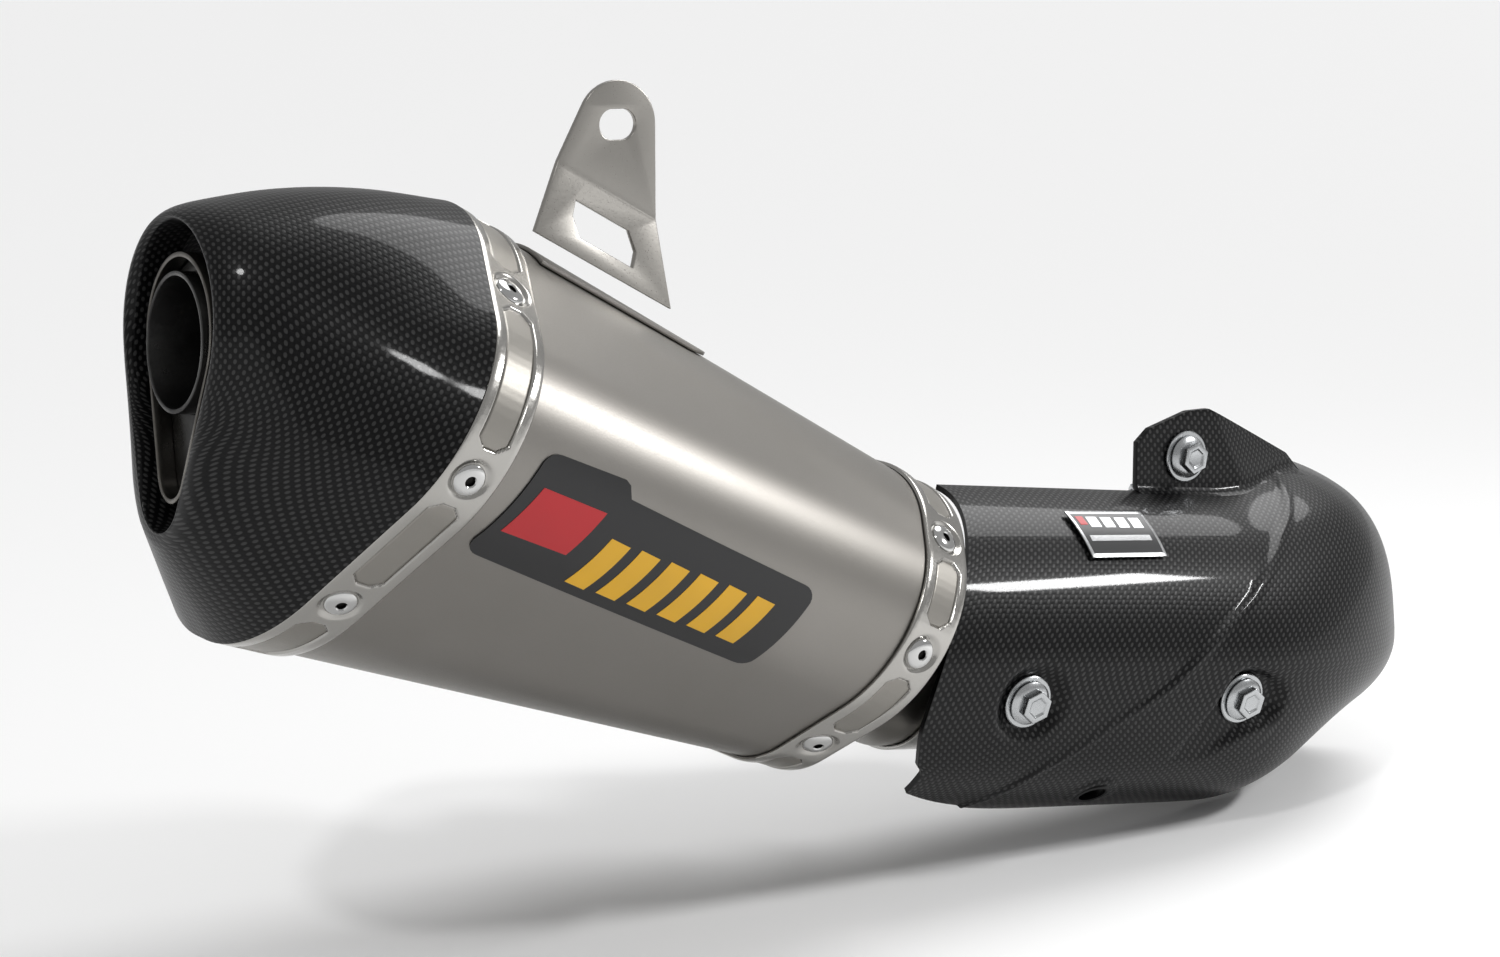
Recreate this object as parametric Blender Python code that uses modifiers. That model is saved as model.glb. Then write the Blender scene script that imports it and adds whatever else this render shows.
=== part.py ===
# Slip-on motorcycle racing exhaust: tapered rounded-hexagon silencer with a slash-cut carbon end cap,
# riveted bands, a bent hanger bracket, and a link pipe under a carbon heat shield.
# World frame: origin on the outer face of the hanger bracket's eye plate, +X towards the engine end,
# +Y inboard towards the wheel, +Z up. Lengths are in metres, angles in degrees.
# Muffler frame: u runs forward along the bands' axis from the rear band's rear edge, v is +Y,
# and w is up, square to u. The whole muffler is pitched nose-down about Y.

import math

import bmesh
import bpy
from mathutils import Matrix, Vector

OBJECT_NAME = "racing_exhaust"
FIT_GAP = 0.0003              # clearance between pieces that touch

# ---- where the muffler sits ----------------------------------------------------------------------
PITCH_DEG = 32.0              # bands' axis, nose-down from level
REAR_BAND_X = -0.0745         # rear band's rear edge on the muffler's own centre datum
REAR_BAND_Z = -0.0440
MUFFLER_MID_Y = 0.0145        # muffler's plane of symmetry

# ---- silencer body -------------------------------------------------------------------------------
BODY_LENGTH = 0.168           # rear edge of the rear band to rear edge of the front band
BAND_WIDTH = 0.017
BAND_THICK = 0.0012
SLEEVE_THICK = 0.0010
SPIGOT_THICK = 0.0020         # carbon end cap wall
FRONT_CAP_THICK = 0.0012
END_SETBACK = 0.0010          # sleeve ends inside the bands' outer edges
# corner points of the section as (half width, height) and the corner radii: top, side, bottom
REAR_TOP_HALF = 0.024
REAR_TOP_W = 0.043
REAR_SIDE_HALF = 0.099
REAR_SIDE_W = -0.011
REAR_BOTTOM_HALF = 0.029
REAR_BOTTOM_W = -0.095
REAR_TOP_R = 0.056
REAR_SIDE_R = 0.039
REAR_BOTTOM_R = 0.055
FRONT_TOP_HALF = 0.034
FRONT_TOP_W = 0.047
FRONT_SIDE_HALF = 0.082
FRONT_SIDE_W = -0.003
FRONT_BOTTOM_HALF = 0.025
FRONT_BOTTOM_W = -0.055
FRONT_TOP_R = 0.046
FRONT_SIDE_R = 0.039
FRONT_BOTTOM_R = 0.031
REAR_CENTRE_W = -0.026        # centre the rear section is sampled about
FRONT_CENTRE_W = -0.004
SECTION_POINTS = 44

# ---- carbon end cap ------------------------------------------------------------------------------
CAP_FACE_X = -0.0580          # outlet face, measured from the rear band datum along world X
CAP_MOUTH_LEAN = 0.12         # how far the shell's mouth leans past the outlet, per metre of height
CAP_MOUTH_X = -0.0500
MOUTH_UPPER_R = 0.0375        # egg-shaped mouth of the shell: large circle over small circle
MOUTH_UPPER_Z = 0.0030
MOUTH_LOWER_R = 0.0265
MOUTH_LOWER_Z = -0.0290
MOUTH_SQUARE = 0.08           # how much fuller the mouth's upper corners are than the circle
RECESS_UPPER_R = 0.0285       # edge of the recess around the outlet
RECESS_UPPER_Z = 0.0055
RECESS_LOWER_R = 0.0130
RECESS_LOWER_Z = -0.0370
RECESS_DEPTH = 0.0120
RECESS_LIP = 0.0025           # first step of the recess's wall, behind its edge
CAP_BULGE = 0.045             # shell's bulge at the top as a share of its slant length; none below
CAP_ROWS = 4
CAP_FACE_ROWS = ((0.28, 0.60), (0.55, 0.90), (0.78, 1.0), (0.94, 0.93))   # shares inwards, rearwards

# ---- outlet --------------------------------------------------------------------------------------
OUTLET_TILT_DEG = 5.2         # outlet's axis, rising towards the rear
RING_UPPER_R = 0.0221         # egg-shaped outlet duct, outside
RING_UPPER_Z = 0.0038
RING_LOWER_R = 0.0095
RING_LOWER_Z = -0.0330
RING_THICK = 0.0015
RING_FACE_X = -0.0550
DAMPER_R = 0.0193             # removable noise-damper tube, outside
DAMPER_Z = 0.0014
DAMPER_THICK = 0.0014
DAMPER_LENGTH = 0.0440
DAMPER_PROUD = 0.0010         # tube stands out of the duct's rim by this
DAMPER_PLATE_THICK = 0.0015
DAMPER_PLATE_BACK = 0.0050    # plate sits this far inside the duct's rim
DAMPER_FIT = 0.0004

# ---- inside --------------------------------------------------------------------------------------
BULKHEAD_U = 0.0040
BULKHEAD_THICK = 0.0012
BULKHEAD_FLANGE = 0.0120
CORE_R = 0.0250
CORE_THICK = 0.0010
CORE_START_U = 0.0085
CORE_PAST_BAND = 0.0100         # core reaches this far past the front band's rear edge
CORE_END_U = BODY_LENGTH + CORE_PAST_BAND
CORE_START_W = -0.0240
CORE_END_W = -0.0060
CORE_HOLE_R = 0.0035
CORE_HOLE_ROWS = 3
CORE_HOLES_ROUND = 6
BULKHEAD_HOLE_R = 0.0225
PACKING_START_U = 0.0185
PACKING_SHORT = 0.0040
PACKING_END_U = BODY_LENGTH - PACKING_SHORT
PACKING_SKIN_GAP = 0.0008

# ---- inlet stub, link pipe and its bend ----------------------------------------------------------
INLET_PITCH_DEG = 7.0         # link pipe's straight run, nose-down from level
CONE_RUN = 0.0315279            # level run from the front band to the stub, on the centre line
CONE_DROP = 0.0217736
INLET_X = BODY_LENGTH * math.cos(math.radians(PITCH_DEG)) + CONE_RUN
INLET_Z = -BODY_LENGTH * math.sin(math.radians(PITCH_DEG)) - CONE_DROP
PIPE_R = 0.0300
PIPE_THICK = 0.0010
SLIP_GAP = 0.0004
STUB_THICK = 0.0012
STUB_LENGTH = 0.0180
CAP_WAIST = 0.14              # how far the front cap's cone is drawn in half-way, as a share of its slope
PIPE_IN_STUB = 0.0145
LINK_STRAIGHT = 0.1170        # from the stub's start to the start of the bend
LINK_BEND_R = 0.0900
LINK_BEND_DEG = 68.0
LINK_TAIL = 0.0420
BEND_ROWS = 10
PIPE_POINTS = 30
COLLAR_LENGTH = 0.0300
COLLAR_THICK = 0.0020

# ---- clamps --------------------------------------------------------------------------------------
CLAMP_WIDTH = 0.0120
CLAMP_THICK = 0.0012
CLAMP_SPLIT_DEG = 12.0
CLAMP_EAR_HEIGHT = 0.0130
CLAMP_EAR_THICK = 0.0020
CLAMP_BOLT_R = 0.0025
CLAMP_HEAD_R = 0.0046
CLAMP_HEAD_H = 0.0040
CLAMP_NUT_H = 0.0045
CLAMP_BOLT_PROUD = 0.0015      # thread standing out of the nut
SLIP_CLAMP_FROM_END = 0.0010
INLET_CLAMP_FROM_END = 0.0030
SLIP_CLAMP_TURN_DEG = 90.0    # where the clamp's ears point, from up towards inboard
INLET_CLAMP_TURN_DEG = 20.0

# ---- heat shield ---------------------------------------------------------------------------------
SHIELD_R = 0.0530             # outer radius about the link pipe's axis
SHIELD_THICK = 0.0018
SHIELD_START_TOP = 0.0190     # rear edge at the shield's top, along the pipe from the stub's start
SHIELD_START_SIDE = -0.0140   # rear edge where it reaches furthest back, on the outboard side
SHIELD_SIDE_DEG = 107.0
SHIELD_START_CORNER = -0.0060 # rear edge at the lower corner
SHIELD_BEND_DEG = 60.0        # how far round the bend it reaches
SHIELD_TOP_DEG = 5.5          # its two long edges, from up towards outboard
SHIELD_BOTTOM_DEG = 168.0
SHIELD_CORNER_DEG = 139.0     # lower edge's angle at the rear corner
SHIELD_EDGE_RUN = 0.1000      # length over which the lower edge drops to its full angle
SHOULDER_RISE = 0.0075        # shield's upper side swells by this round the bend
SHOULDER_START = 0.1250
SHOULDER_RUN = 0.0450
SHIELD_TUCK = 0.0110          # lower side draws in by this round the bend
TUCK_START = 0.1280
TUCK_RUN = 0.0450
SHIELD_PITCH = 0.0085         # coarsest spacing of the shield's grid
DIMPLE_DEPTH = 0.0045
DIMPLE_FLAT_R = 0.0132
DIMPLE_OUTER_R = 0.0210
LOWER_BOLT_1_ALONG = 0.0260
LOWER_BOLT_2_ALONG = 0.1140
LOWER_BOLT_DEG = 100.0
SHIELD_VENT_ALONG = 0.0700
SHIELD_VENT_DEG = 143.0
SHIELD_VENT_R = 0.0045
EAR_THICK = 0.0020
EAR_FACE_Y = -0.0060          # outboard face of the ear, from the muffler's mid plane
EAR_BOLT_RUN = 0.1225           # upper bolt from the stub, level and upright
EAR_BOLT_RISE = 0.0498
EAR_BOLT_X = INLET_X + EAR_BOLT_RUN
EAR_BOLT_Z = INLET_Z + EAR_BOLT_RISE
EAR_OUTLINE = ((-0.0205, -0.0110), (-0.0205, 0.0065), (-0.0155, 0.0105), (0.0010, 0.0150),
               (0.0100, 0.0150), (0.0578, -0.0060), (0.0680, -0.0150), (0.0612, -0.0360),
               (0.0408, -0.0250), (0.0, -0.0135))      # from its bolt, across and up

# ---- shield fasteners ----------------------------------------------------------------------------
BOLT_R = 0.0030               # M6 flanged hexagon bolts
BOLT_HEX_R = 0.0056
BOLT_HEX_H = 0.0050
BOLT_FLANGE_R = 0.0070
BOLT_FLANGE_H = 0.0012
WASHER_R = 0.0085
WASHER_THICK = 0.0010
HOLE_CLEAR = 0.0004
SPACER_R = 0.0070
BOSS_R = 0.0060
BOSS_TAB_HALF = 0.0080        # half the width of the tall tab under the upper bolt
BOLT_IN_BOSS = 0.0060
TAB_PAST_BOLT = 0.0010         # upper tab is this much thicker than the bolt reaches
UPPER_SPACER_H = 0.0040
LOWER_BOSS_H = 0.0075
BOLT_CROWN_H = 0.0006
SHIELD_DRILL_LENGTH = 0.0120

# ---- rivets --------------------------------------------------------------------------------------
RIVET_SHANK_R = 0.0024
RIVET_HEAD_R = 0.00475
RIVET_HEAD_H = 0.0014
RIVET_BORE_R = 0.0013
RIVET_TAIL = 0.0012
RIVET_DRILL_LENGTH = 0.0240      # long enough for every wall a rivet passes
REAR_RIVETS_DEG = (0.0, 46.0, 93.0, 135.0, 180.0)
FRONT_RIVETS_DEG = (0.0, 56.0, 92.0, 135.0, 180.0)

# ---- hanger bracket ------------------------------------------------------------------------------
BRACKET_THICK = 0.0020
EYE_X = 0.0                   # eye slot's centre from the origin mount, along X
EYE_Z = 0.0122
EYE_SLOT_HALF = 0.0044        # half the slot's width
EYE_SLOT_LONG = 0.0120        # slot's end-to-end length along X
EYE_OUTER_R = 0.0125
BRACKET_REAR_BASE_X = -0.0300
BRACKET_FRONT_BASE_X = 0.0145
BRACKET_BEND_DROP = 0.0085    # bend line below the origin at X = 0
BRACKET_SLOPE_DEG = 29.0      # slope of the bend line and of the foot
BRACKET_LEG = 0.0245          # height of the leaning part
BRACKET_LEAN = 0.20           # how far it leans outboard per metre of drop
WINDOW_LONG = 0.0235
WINDOW_TALL = 0.0105
WINDOW_DROP = 0.0135          # window's centre below the bend line
WINDOW_X = -0.0062
FOOT_START_U = 0.0250
FOOT_END_U = 0.0900
FOOT_THICK = 0.0012
FOOT_NOSE_SHARE = 0.14         # front part of the foot that is rounded off, as a share of its length
FOOT_NOSE_ROUND = 0.75
FOOT_DEG_IN = 6.0
FOOT_DEG_OUT = 24.0

# ---- badges --------------------------------------------------------------------------------------
BADGE_THICK = 0.0005
BADGE_TOP_REAR_U = 0.0258
BADGE_STEP_U = 0.0545
BADGE_TOP_FRONT_U = 0.1300
BADGE_BOTTOM_REAR_U = 0.0228
BADGE_BOTTOM_FRONT_U = 0.1275
BADGE_TOP_REAR_DEG = 82.0
BADGE_STEP_HIGH_DEG = 81.0
BADGE_STEP_LOW_DEG = 84.5
BADGE_STEP_RUN = 0.0020
BADGE_TOP_MIDDLE_DEG = 85.7
BADGE_TOP_FRONT_DEG = 87.0
BADGE_BOTTOM_REAR_DEG = 108.0
BADGE_BOTTOM_FRONT_DEG = 113.0
PLATE_THICK = 0.0006
PLATE_START = 0.0510
PLATE_END = 0.0830
PLATE_TOP_DEG = 28.0
PLATE_BOTTOM_DEG = 48.0

# ---- colours -------------------------------------------------------------------------------------
MATERIALS = {
    "titanium_satin": (0.46, 0.44, 0.41, 1.0, 0.38),
    "titanium_polished": (0.62, 0.61, 0.58, 1.0, 0.22),
    "carbon_gloss": (0.02, 0.02, 0.022, 0.0, 0.15),
    "steel_dark": (0.20, 0.20, 0.20, 1.0, 0.35),
    "steel_bright": (0.66, 0.66, 0.67, 1.0, 0.20),
    "zinc_plate": (0.60, 0.61, 0.62, 1.0, 0.30),
    "rivet_steel": (0.55, 0.55, 0.55, 1.0, 0.25),
    "glass_wool": (0.78, 0.74, 0.60, 0.0, 0.95),
    "black_badge": (0.03, 0.03, 0.03, 0.0, 0.45),
    "grey_badge": (0.10, 0.10, 0.11, 0.0, 0.35),
    "black_rubber": (0.02, 0.02, 0.02, 0.0, 0.80),
}


# ---- scene and material helpers ------------------------------------------------------------------
def clear_scene():
    for existing in list(bpy.data.objects):
        bpy.data.objects.remove(existing, do_unlink=True)


def new_collection(name):
    made = bpy.data.collections.new(name)
    bpy.context.scene.collection.children.link(made)
    return made


def material(name):
    found = bpy.data.materials.get(name)
    if found:
        return found
    red, green, blue, metallic, roughness = MATERIALS[name]
    made = bpy.data.materials.new(name)
    made.use_nodes = True
    shader = made.node_tree.nodes["Principled BSDF"]
    shader.inputs["Base Color"].default_value = (red, green, blue, 1.0)
    shader.inputs["Metallic"].default_value = metallic
    shader.inputs["Roughness"].default_value = roughness
    made.diffuse_color = (red, green, blue, 1.0)
    return made


def add_object(name, mesh, material_name, cutter=False):
    made = bpy.data.objects.new(name, mesh)
    if cutter:
        CUTTERS.objects.link(made)
        made.hide_render = True
        made.display_type = "WIRE"
    else:
        PARTS.objects.link(made)
        mesh.materials.clear()
        mesh.materials.append(material(material_name))
    return made


def closed_mesh(name, points, faces):
    mesh = bpy.data.meshes.new(name)
    mesh.from_pydata([tuple(point) for point in points], [], faces)
    shape = bmesh.new()
    shape.from_mesh(mesh)
    bmesh.ops.remove_doubles(shape, verts=shape.verts, dist=0.000002)
    bmesh.ops.recalc_face_normals(shape, faces=shape.faces)
    if shape.calc_volume(signed=True) < 0.0:
        bmesh.ops.reverse_faces(shape, faces=shape.faces)
    shape.to_mesh(mesh)
    shape.free()
    return mesh


# ---- frames --------------------------------------------------------------------------------------
def datum(x, y, z):
    """A point measured level from the rear band datum, in world axes."""
    return Vector((REAR_BAND_X + x, MUFFLER_MID_Y + y, REAR_BAND_Z + z))


def muffler(u, v, w):
    """A point in the muffler frame."""
    pitch = math.radians(PITCH_DEG)
    x = u * math.cos(pitch) + w * math.sin(pitch)
    z = -u * math.sin(pitch) + w * math.cos(pitch)
    return datum(x, v, z)


def outlet_forward():
    """Direction into the outlet, along its axis."""
    tilt = math.radians(OUTLET_TILT_DEG)
    return Vector((math.cos(tilt), 0.0, -math.sin(tilt)))


def outlet(depth, y, height):
    """A point by its depth along the outlet's axis and its height square to it, from the rear band datum."""
    forward = outlet_forward()
    up = Vector((-forward.z, 0.0, forward.x))
    pivot = datum(RING_FACE_X, y, DAMPER_Z)
    return pivot + forward * (depth - RING_FACE_X) + up * (height - DAMPER_Z)


def pipe_frame(along):
    """Centre, direction, up and outboard vectors of the link pipe at a length along its axis."""
    pitch = math.radians(INLET_PITCH_DEG)
    forward = Vector((math.cos(pitch), 0.0, -math.sin(pitch)))
    up = Vector((math.sin(pitch), 0.0, math.cos(pitch)))
    inboard = Vector((0.0, 1.0, 0.0))
    start = datum(INLET_X, 0.0, INLET_Z)
    bend_length = LINK_BEND_R * math.radians(LINK_BEND_DEG)
    if along <= LINK_STRAIGHT:
        centre = start + forward * along
        turned = 0.0
    else:
        turned = min(along - LINK_STRAIGHT, bend_length) / LINK_BEND_R
        centre = start + forward * (LINK_STRAIGHT + LINK_BEND_R * math.sin(turned))
        centre = centre + inboard * LINK_BEND_R * (1.0 - math.cos(turned))
    direction = forward * math.cos(turned) + inboard * math.sin(turned)
    outboard = forward * math.sin(turned) - inboard * math.cos(turned)
    if along > LINK_STRAIGHT + bend_length:
        centre = centre + direction * (along - LINK_STRAIGHT - bend_length)
    return centre, direction, up, outboard


def pipe_point(along, radius, angle_deg):
    """A point about the link pipe: angle from up towards outboard."""
    centre, direction, up, outboard = pipe_frame(along)
    angle = math.radians(angle_deg)
    return centre + (up * math.cos(angle) + outboard * math.sin(angle)) * radius


def matrix_along(origin, direction, side):
    """Matrix whose Z axis is the direction and whose X axis is nearest the side vector."""
    z_axis = direction.normalized()
    x_axis = (side - z_axis * side.dot(z_axis)).normalized()
    y_axis = z_axis.cross(x_axis)
    turned = Matrix((x_axis, y_axis, z_axis)).transposed().to_4x4()
    return Matrix.Translation(origin) @ turned


# ---- outlines ------------------------------------------------------------------------------------
def rounded_outline(corners, radii, inset, steps=16):
    """Closed convex outline with rounded corners, moved inwards by the inset."""
    count = len(corners)
    outline = []
    for index in range(count):
        corner = Vector(corners[index])
        before = (Vector(corners[index - 1]) - corner).normalized()
        after = (Vector(corners[(index + 1) % count]) - corner).normalized()
        half = math.acos(max(-1.0, min(1.0, before.dot(after)))) / 2.0
        centre = corner + (before + after).normalized() * radii[index] / math.sin(half)
        run = radii[index] / math.tan(half)
        first = corner + before * run - centre
        last = corner + after * run - centre
        start = math.atan2(first.y, first.x)
        sweep = math.atan2(last.y, last.x) - start
        sweep = (sweep + math.pi) % (2.0 * math.pi) - math.pi
        for step in range(steps + 1):
            angle = start + sweep * step / steps
            reach = radii[index] - inset
            outline.append(centre + Vector((math.cos(angle), math.sin(angle))) * reach)
    return outline


def section_outline(u, inset):
    """Muffler section at u as (v, w) points."""
    share = u / BODY_LENGTH

    def mix(rear, front):
        return rear + (front - rear) * share
    top = (mix(REAR_TOP_HALF, FRONT_TOP_HALF), mix(REAR_TOP_W, FRONT_TOP_W))
    side = (mix(REAR_SIDE_HALF, FRONT_SIDE_HALF), mix(REAR_SIDE_W, FRONT_SIDE_W))
    bottom = (mix(REAR_BOTTOM_HALF, FRONT_BOTTOM_HALF), mix(REAR_BOTTOM_W, FRONT_BOTTOM_W))
    top_r = mix(REAR_TOP_R, FRONT_TOP_R)
    side_r = mix(REAR_SIDE_R, FRONT_SIDE_R)
    bottom_r = mix(REAR_BOTTOM_R, FRONT_BOTTOM_R)
    corners = [top, side, bottom]
    corners += [(-bottom[0], bottom[1]), (-side[0], side[1]), (-top[0], top[1])]
    return rounded_outline(corners, [top_r, side_r, bottom_r, bottom_r, side_r, top_r], inset)


def egg_outline(upper_r, upper_z, lower_r, lower_z, inset, steps=28):
    """Egg of two circles joined by tangents, as (y, z) points."""
    lean = math.asin((upper_r - lower_r) / (upper_z - lower_z))
    outline = []
    for step in range(steps + 1):
        angle = math.pi / 2.0 + math.pi / 2.0 + lean - (math.pi + 2.0 * lean) * step / steps
        reach = upper_r - inset
        outline.append(Vector((reach * math.cos(angle), upper_z + reach * math.sin(angle))))
    for step in range(steps + 1):
        angle = -lean - (math.pi - 2.0 * lean) * step / steps
        reach = lower_r - inset
        outline.append(Vector((reach * math.cos(angle), lower_z + reach * math.sin(angle))))
    return outline


def sample_outline(outline, centre, angles):
    """Where rays from the centre, at angles from up towards -Y, cross the outline."""
    sampled = []
    for angle_deg in angles:
        angle = math.radians(angle_deg)
        ray = Vector((-math.sin(angle), math.cos(angle)))
        across = Vector((ray.y, -ray.x))
        found = None
        for index, point in enumerate(outline):
            nearer = outline[index - 1] - centre
            further = point - centre
            side_a = nearer.dot(across)
            side_b = further.dot(across)
            if (side_a <= 0.0) == (side_b <= 0.0):
                continue
            crossing = nearer + (further - nearer) * (side_a / (side_a - side_b))
            reach = crossing.dot(ray)
            if reach > 0.0:
                found = centre + crossing
        sampled.append(found)
    return sampled


def full_turn(count=SECTION_POINTS):
    return [360.0 * (index + 0.25) / count for index in range(count)]


def section_centre(u):
    return Vector((0.0, REAR_CENTRE_W + (FRONT_CENTRE_W - REAR_CENTRE_W) * u / BODY_LENGTH))


def section_row(u, inset, angles=None):
    flat = sample_outline(section_outline(u, inset), section_centre(u), angles or full_turn())
    return [muffler(u, point.x, point.y) for point in flat]


def section_normal(u, angle_deg, inset=0.0):
    """Point on the muffler's outer form and its outward normal."""
    spread = 0.4
    here = section_row(u, inset, [angle_deg])[0]
    one_side = section_row(u, inset, [angle_deg - spread])[0]
    other_side = section_row(u, inset, [angle_deg + spread])[0]
    ahead = section_row(u + 0.002, inset, [angle_deg])[0]
    normal = (other_side - one_side).cross(ahead - here).normalized()
    centre = section_centre(u)
    if normal.dot(here - muffler(u, centre.x, centre.y)) < 0.0:
        normal = -normal
    return here, normal


# ---- solid builders ------------------------------------------------------------------------------
def ring_faces(rows, count, close_rows=True, close_round=True):
    faces = []
    row_steps = rows if close_rows else rows - 1
    round_steps = count if close_round else count - 1
    for row in range(row_steps):
        below = ((row + 1) % rows) * count
        here = row * count
        for index in range(round_steps):
            beside = (index + 1) % count
            faces.append((here + index, here + beside, below + beside, below + index))
    return faces


def ring_loft(name, rows, material_name):
    """Closed ring body lofted through rows that return to the first."""
    points = [point for row in rows for point in row]
    mesh = closed_mesh(name, points, ring_faces(len(rows), len(rows[0])))
    return add_object(name, mesh, material_name)


def bar_loft(name, rows, material_name):
    """Solid bar lofted through closed rows, with flat ends."""
    count = len(rows[0])
    points = [point for row in rows for point in row]
    faces = ring_faces(len(rows), count, close_rows=False)
    faces.append(tuple(range(count)))
    faces.append(tuple(range(len(points) - count, len(points))))
    mesh = closed_mesh(name, points, faces)
    return add_object(name, mesh, material_name)


def shell_from_grid(name, grid, thickness, material_name):
    """Sheet through a grid of points, thickened towards its own inside."""
    rows = len(grid)
    count = len(grid[0])
    points = [point for row in grid for point in row]
    mesh = bpy.data.meshes.new(name)
    faces = ring_faces(rows, count, close_rows=False, close_round=False)
    mesh.from_pydata([tuple(point) for point in points], [], faces)
    made = add_object(name, mesh, material_name)
    solid = made.modifiers.new("thickness", "SOLIDIFY")
    solid.thickness = thickness
    solid.offset = -1.0
    solid.use_even_offset = True
    solid.use_quality_normals = True
    return apply_modifiers(made)


def apply_modifiers(made):
    """Replace the object's mesh with its evaluated one."""
    depsgraph = bpy.context.evaluated_depsgraph_get()
    evaluated = made.evaluated_get(depsgraph)
    mesh = bpy.data.meshes.new_from_object(evaluated, preserve_all_data_layers=False, depsgraph=depsgraph)
    mesh.name = made.name
    made.modifiers.clear()
    made.data = mesh
    return made


def lathe(name, profile, placed, material_name, steps=24, cutter=False):
    """Turned solid: profile points are (radius, height), top to bottom on the outer side."""
    mesh = bpy.data.meshes.new(name)
    edges = [(index, index + 1) for index in range(len(profile) - 1)]
    if profile[0][0] > 0.0:
        edges.append((len(profile) - 1, 0))
    mesh.from_pydata([(radius, 0.0, height) for radius, height in profile], edges, [])
    made = add_object(name, mesh, material_name, cutter)
    screw = made.modifiers.new("turn", "SCREW")
    screw.axis = "Z"
    screw.angle = math.radians(360.0)
    screw.steps = steps
    screw.render_steps = steps
    screw.use_merge_vertices = True
    screw.merge_threshold = 0.00001
    screw.use_normal_calculate = True
    apply_modifiers(made)
    shape = bmesh.new()
    shape.from_mesh(made.data)
    bmesh.ops.remove_doubles(shape, verts=shape.verts, dist=0.000001)
    bmesh.ops.recalc_face_normals(shape, faces=shape.faces)
    if shape.calc_volume(signed=True) < 0.0:
        bmesh.ops.reverse_faces(shape, faces=shape.faces)
    shape.to_mesh(made.data)
    shape.free()
    made.matrix_world = placed
    return made


def prism(name, outline, thickness, placed, material_name, holes=(), cutter=False):
    """Flat outline with holes, extruded evenly about its own plane."""
    curve = bpy.data.curves.new(name, "CURVE")
    curve.dimensions = "2D"
    curve.fill_mode = "BOTH"
    curve.extrude = thickness / 2.0
    for loop in [outline] + list(holes):
        spline = curve.splines.new("POLY")
        spline.points.add(len(loop) - 1)
        for point, (x, y) in zip(spline.points, loop):
            point.co = (x, y, 0.0, 1.0)
        spline.use_cyclic_u = True
    source = bpy.data.objects.new(name + "_curve", curve)
    CUTTERS.objects.link(source)
    depsgraph = bpy.context.evaluated_depsgraph_get()
    mesh = bpy.data.meshes.new_from_object(source.evaluated_get(depsgraph))
    mesh.name = name
    bpy.data.objects.remove(source, do_unlink=True)
    shape = bmesh.new()
    shape.from_mesh(mesh)
    bmesh.ops.remove_doubles(shape, verts=shape.verts, dist=0.000001)
    bmesh.ops.recalc_face_normals(shape, faces=shape.faces)
    shape.to_mesh(mesh)
    shape.free()
    made = add_object(name, mesh, material_name, cutter)
    made.matrix_world = placed
    return made


def circle_loop(radius, x, y, steps=20):
    turns = [2.0 * math.pi * index / steps for index in range(steps)]
    return [(x + radius * math.cos(turn), y + radius * math.sin(turn)) for turn in turns]


def combine(made, tools, operation):
    """Apply exact Booleans with each tool, then drop the tools."""
    for tool in tools:
        modifier = made.modifiers.new("combine", "BOOLEAN")
        modifier.operation = operation
        modifier.solver = "EXACT"
        modifier.object = tool
    apply_modifiers(made)
    shape = bmesh.new()
    shape.from_mesh(made.data)
    bmesh.ops.remove_doubles(shape, verts=shape.verts, dist=0.0000002)
    shape.to_mesh(made.data)
    shape.free()
    for tool in tools:
        bpy.data.objects.remove(tool, do_unlink=True)
    return made


def drill(name, radius, origin, direction, length, steps=16):
    """Cylinder centred on the origin, for cutting a round hole."""
    half = length / 2.0
    profile = [(0.0, half), (radius, half), (radius, -half), (0.0, -half)]
    side = Vector((0.3, 0.9, 0.2))
    placed = matrix_along(origin, direction, side)
    return lathe(name, profile, placed, None, steps, cutter=True)


def set_origin(made, origin):
    """Move the object's origin to a world point without moving its shape."""
    shift = Matrix.Translation(origin)
    made.data.transform(shift.inverted() @ made.matrix_world)
    made.matrix_world = shift


# ---- muffler body --------------------------------------------------------------------------------
def rivet_places():
    """Name, u and angle of every rivet, both sides of the plane of symmetry."""
    places = []
    for end, u, list_deg in (("rear", BAND_WIDTH / 2.0, REAR_RIVETS_DEG),
                             ("front", BODY_LENGTH + BAND_WIDTH / 2.0, FRONT_RIVETS_DEG)):
        angles = list(list_deg) + [360.0 - angle for angle in reversed(list_deg[1:-1])]
        for number, angle in enumerate(angles, start=1):
            places.append((end + "_rivet_" + str(number), end, u, angle))
    return places


def rivet_drills(end, tag):
    cutters = []
    for name, which, u, angle in rivet_places():
        if which != end:
            continue
        point, normal = section_normal(u, angle)
        cutters.append(drill(tag + name, RIVET_SHANK_R + FIT_GAP, point, normal, RIVET_DRILL_LENGTH, 12))
    return cutters


SLEEVE_INSET = BAND_THICK + FIT_GAP
SPIGOT_INSET = SLEEVE_INSET + SLEEVE_THICK + FIT_GAP
FLANGE_INSET = SPIGOT_INSET + SPIGOT_THICK + FIT_GAP


def make_sleeve():
    inner = SLEEVE_INSET + SLEEVE_THICK
    start = END_SETBACK
    end = BODY_LENGTH + BAND_WIDTH - END_SETBACK
    stations = [start, BAND_WIDTH, BODY_LENGTH * 0.5, BODY_LENGTH, end]
    rows = [section_row(u, SLEEVE_INSET) for u in stations]
    rows += [section_row(u, inner) for u in reversed(stations)]
    made = ring_loft("outer_sleeve", rows, "titanium_satin")
    return combine(made, rivet_drills("rear", "a") + rivet_drills("front", "b"), "DIFFERENCE")


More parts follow.
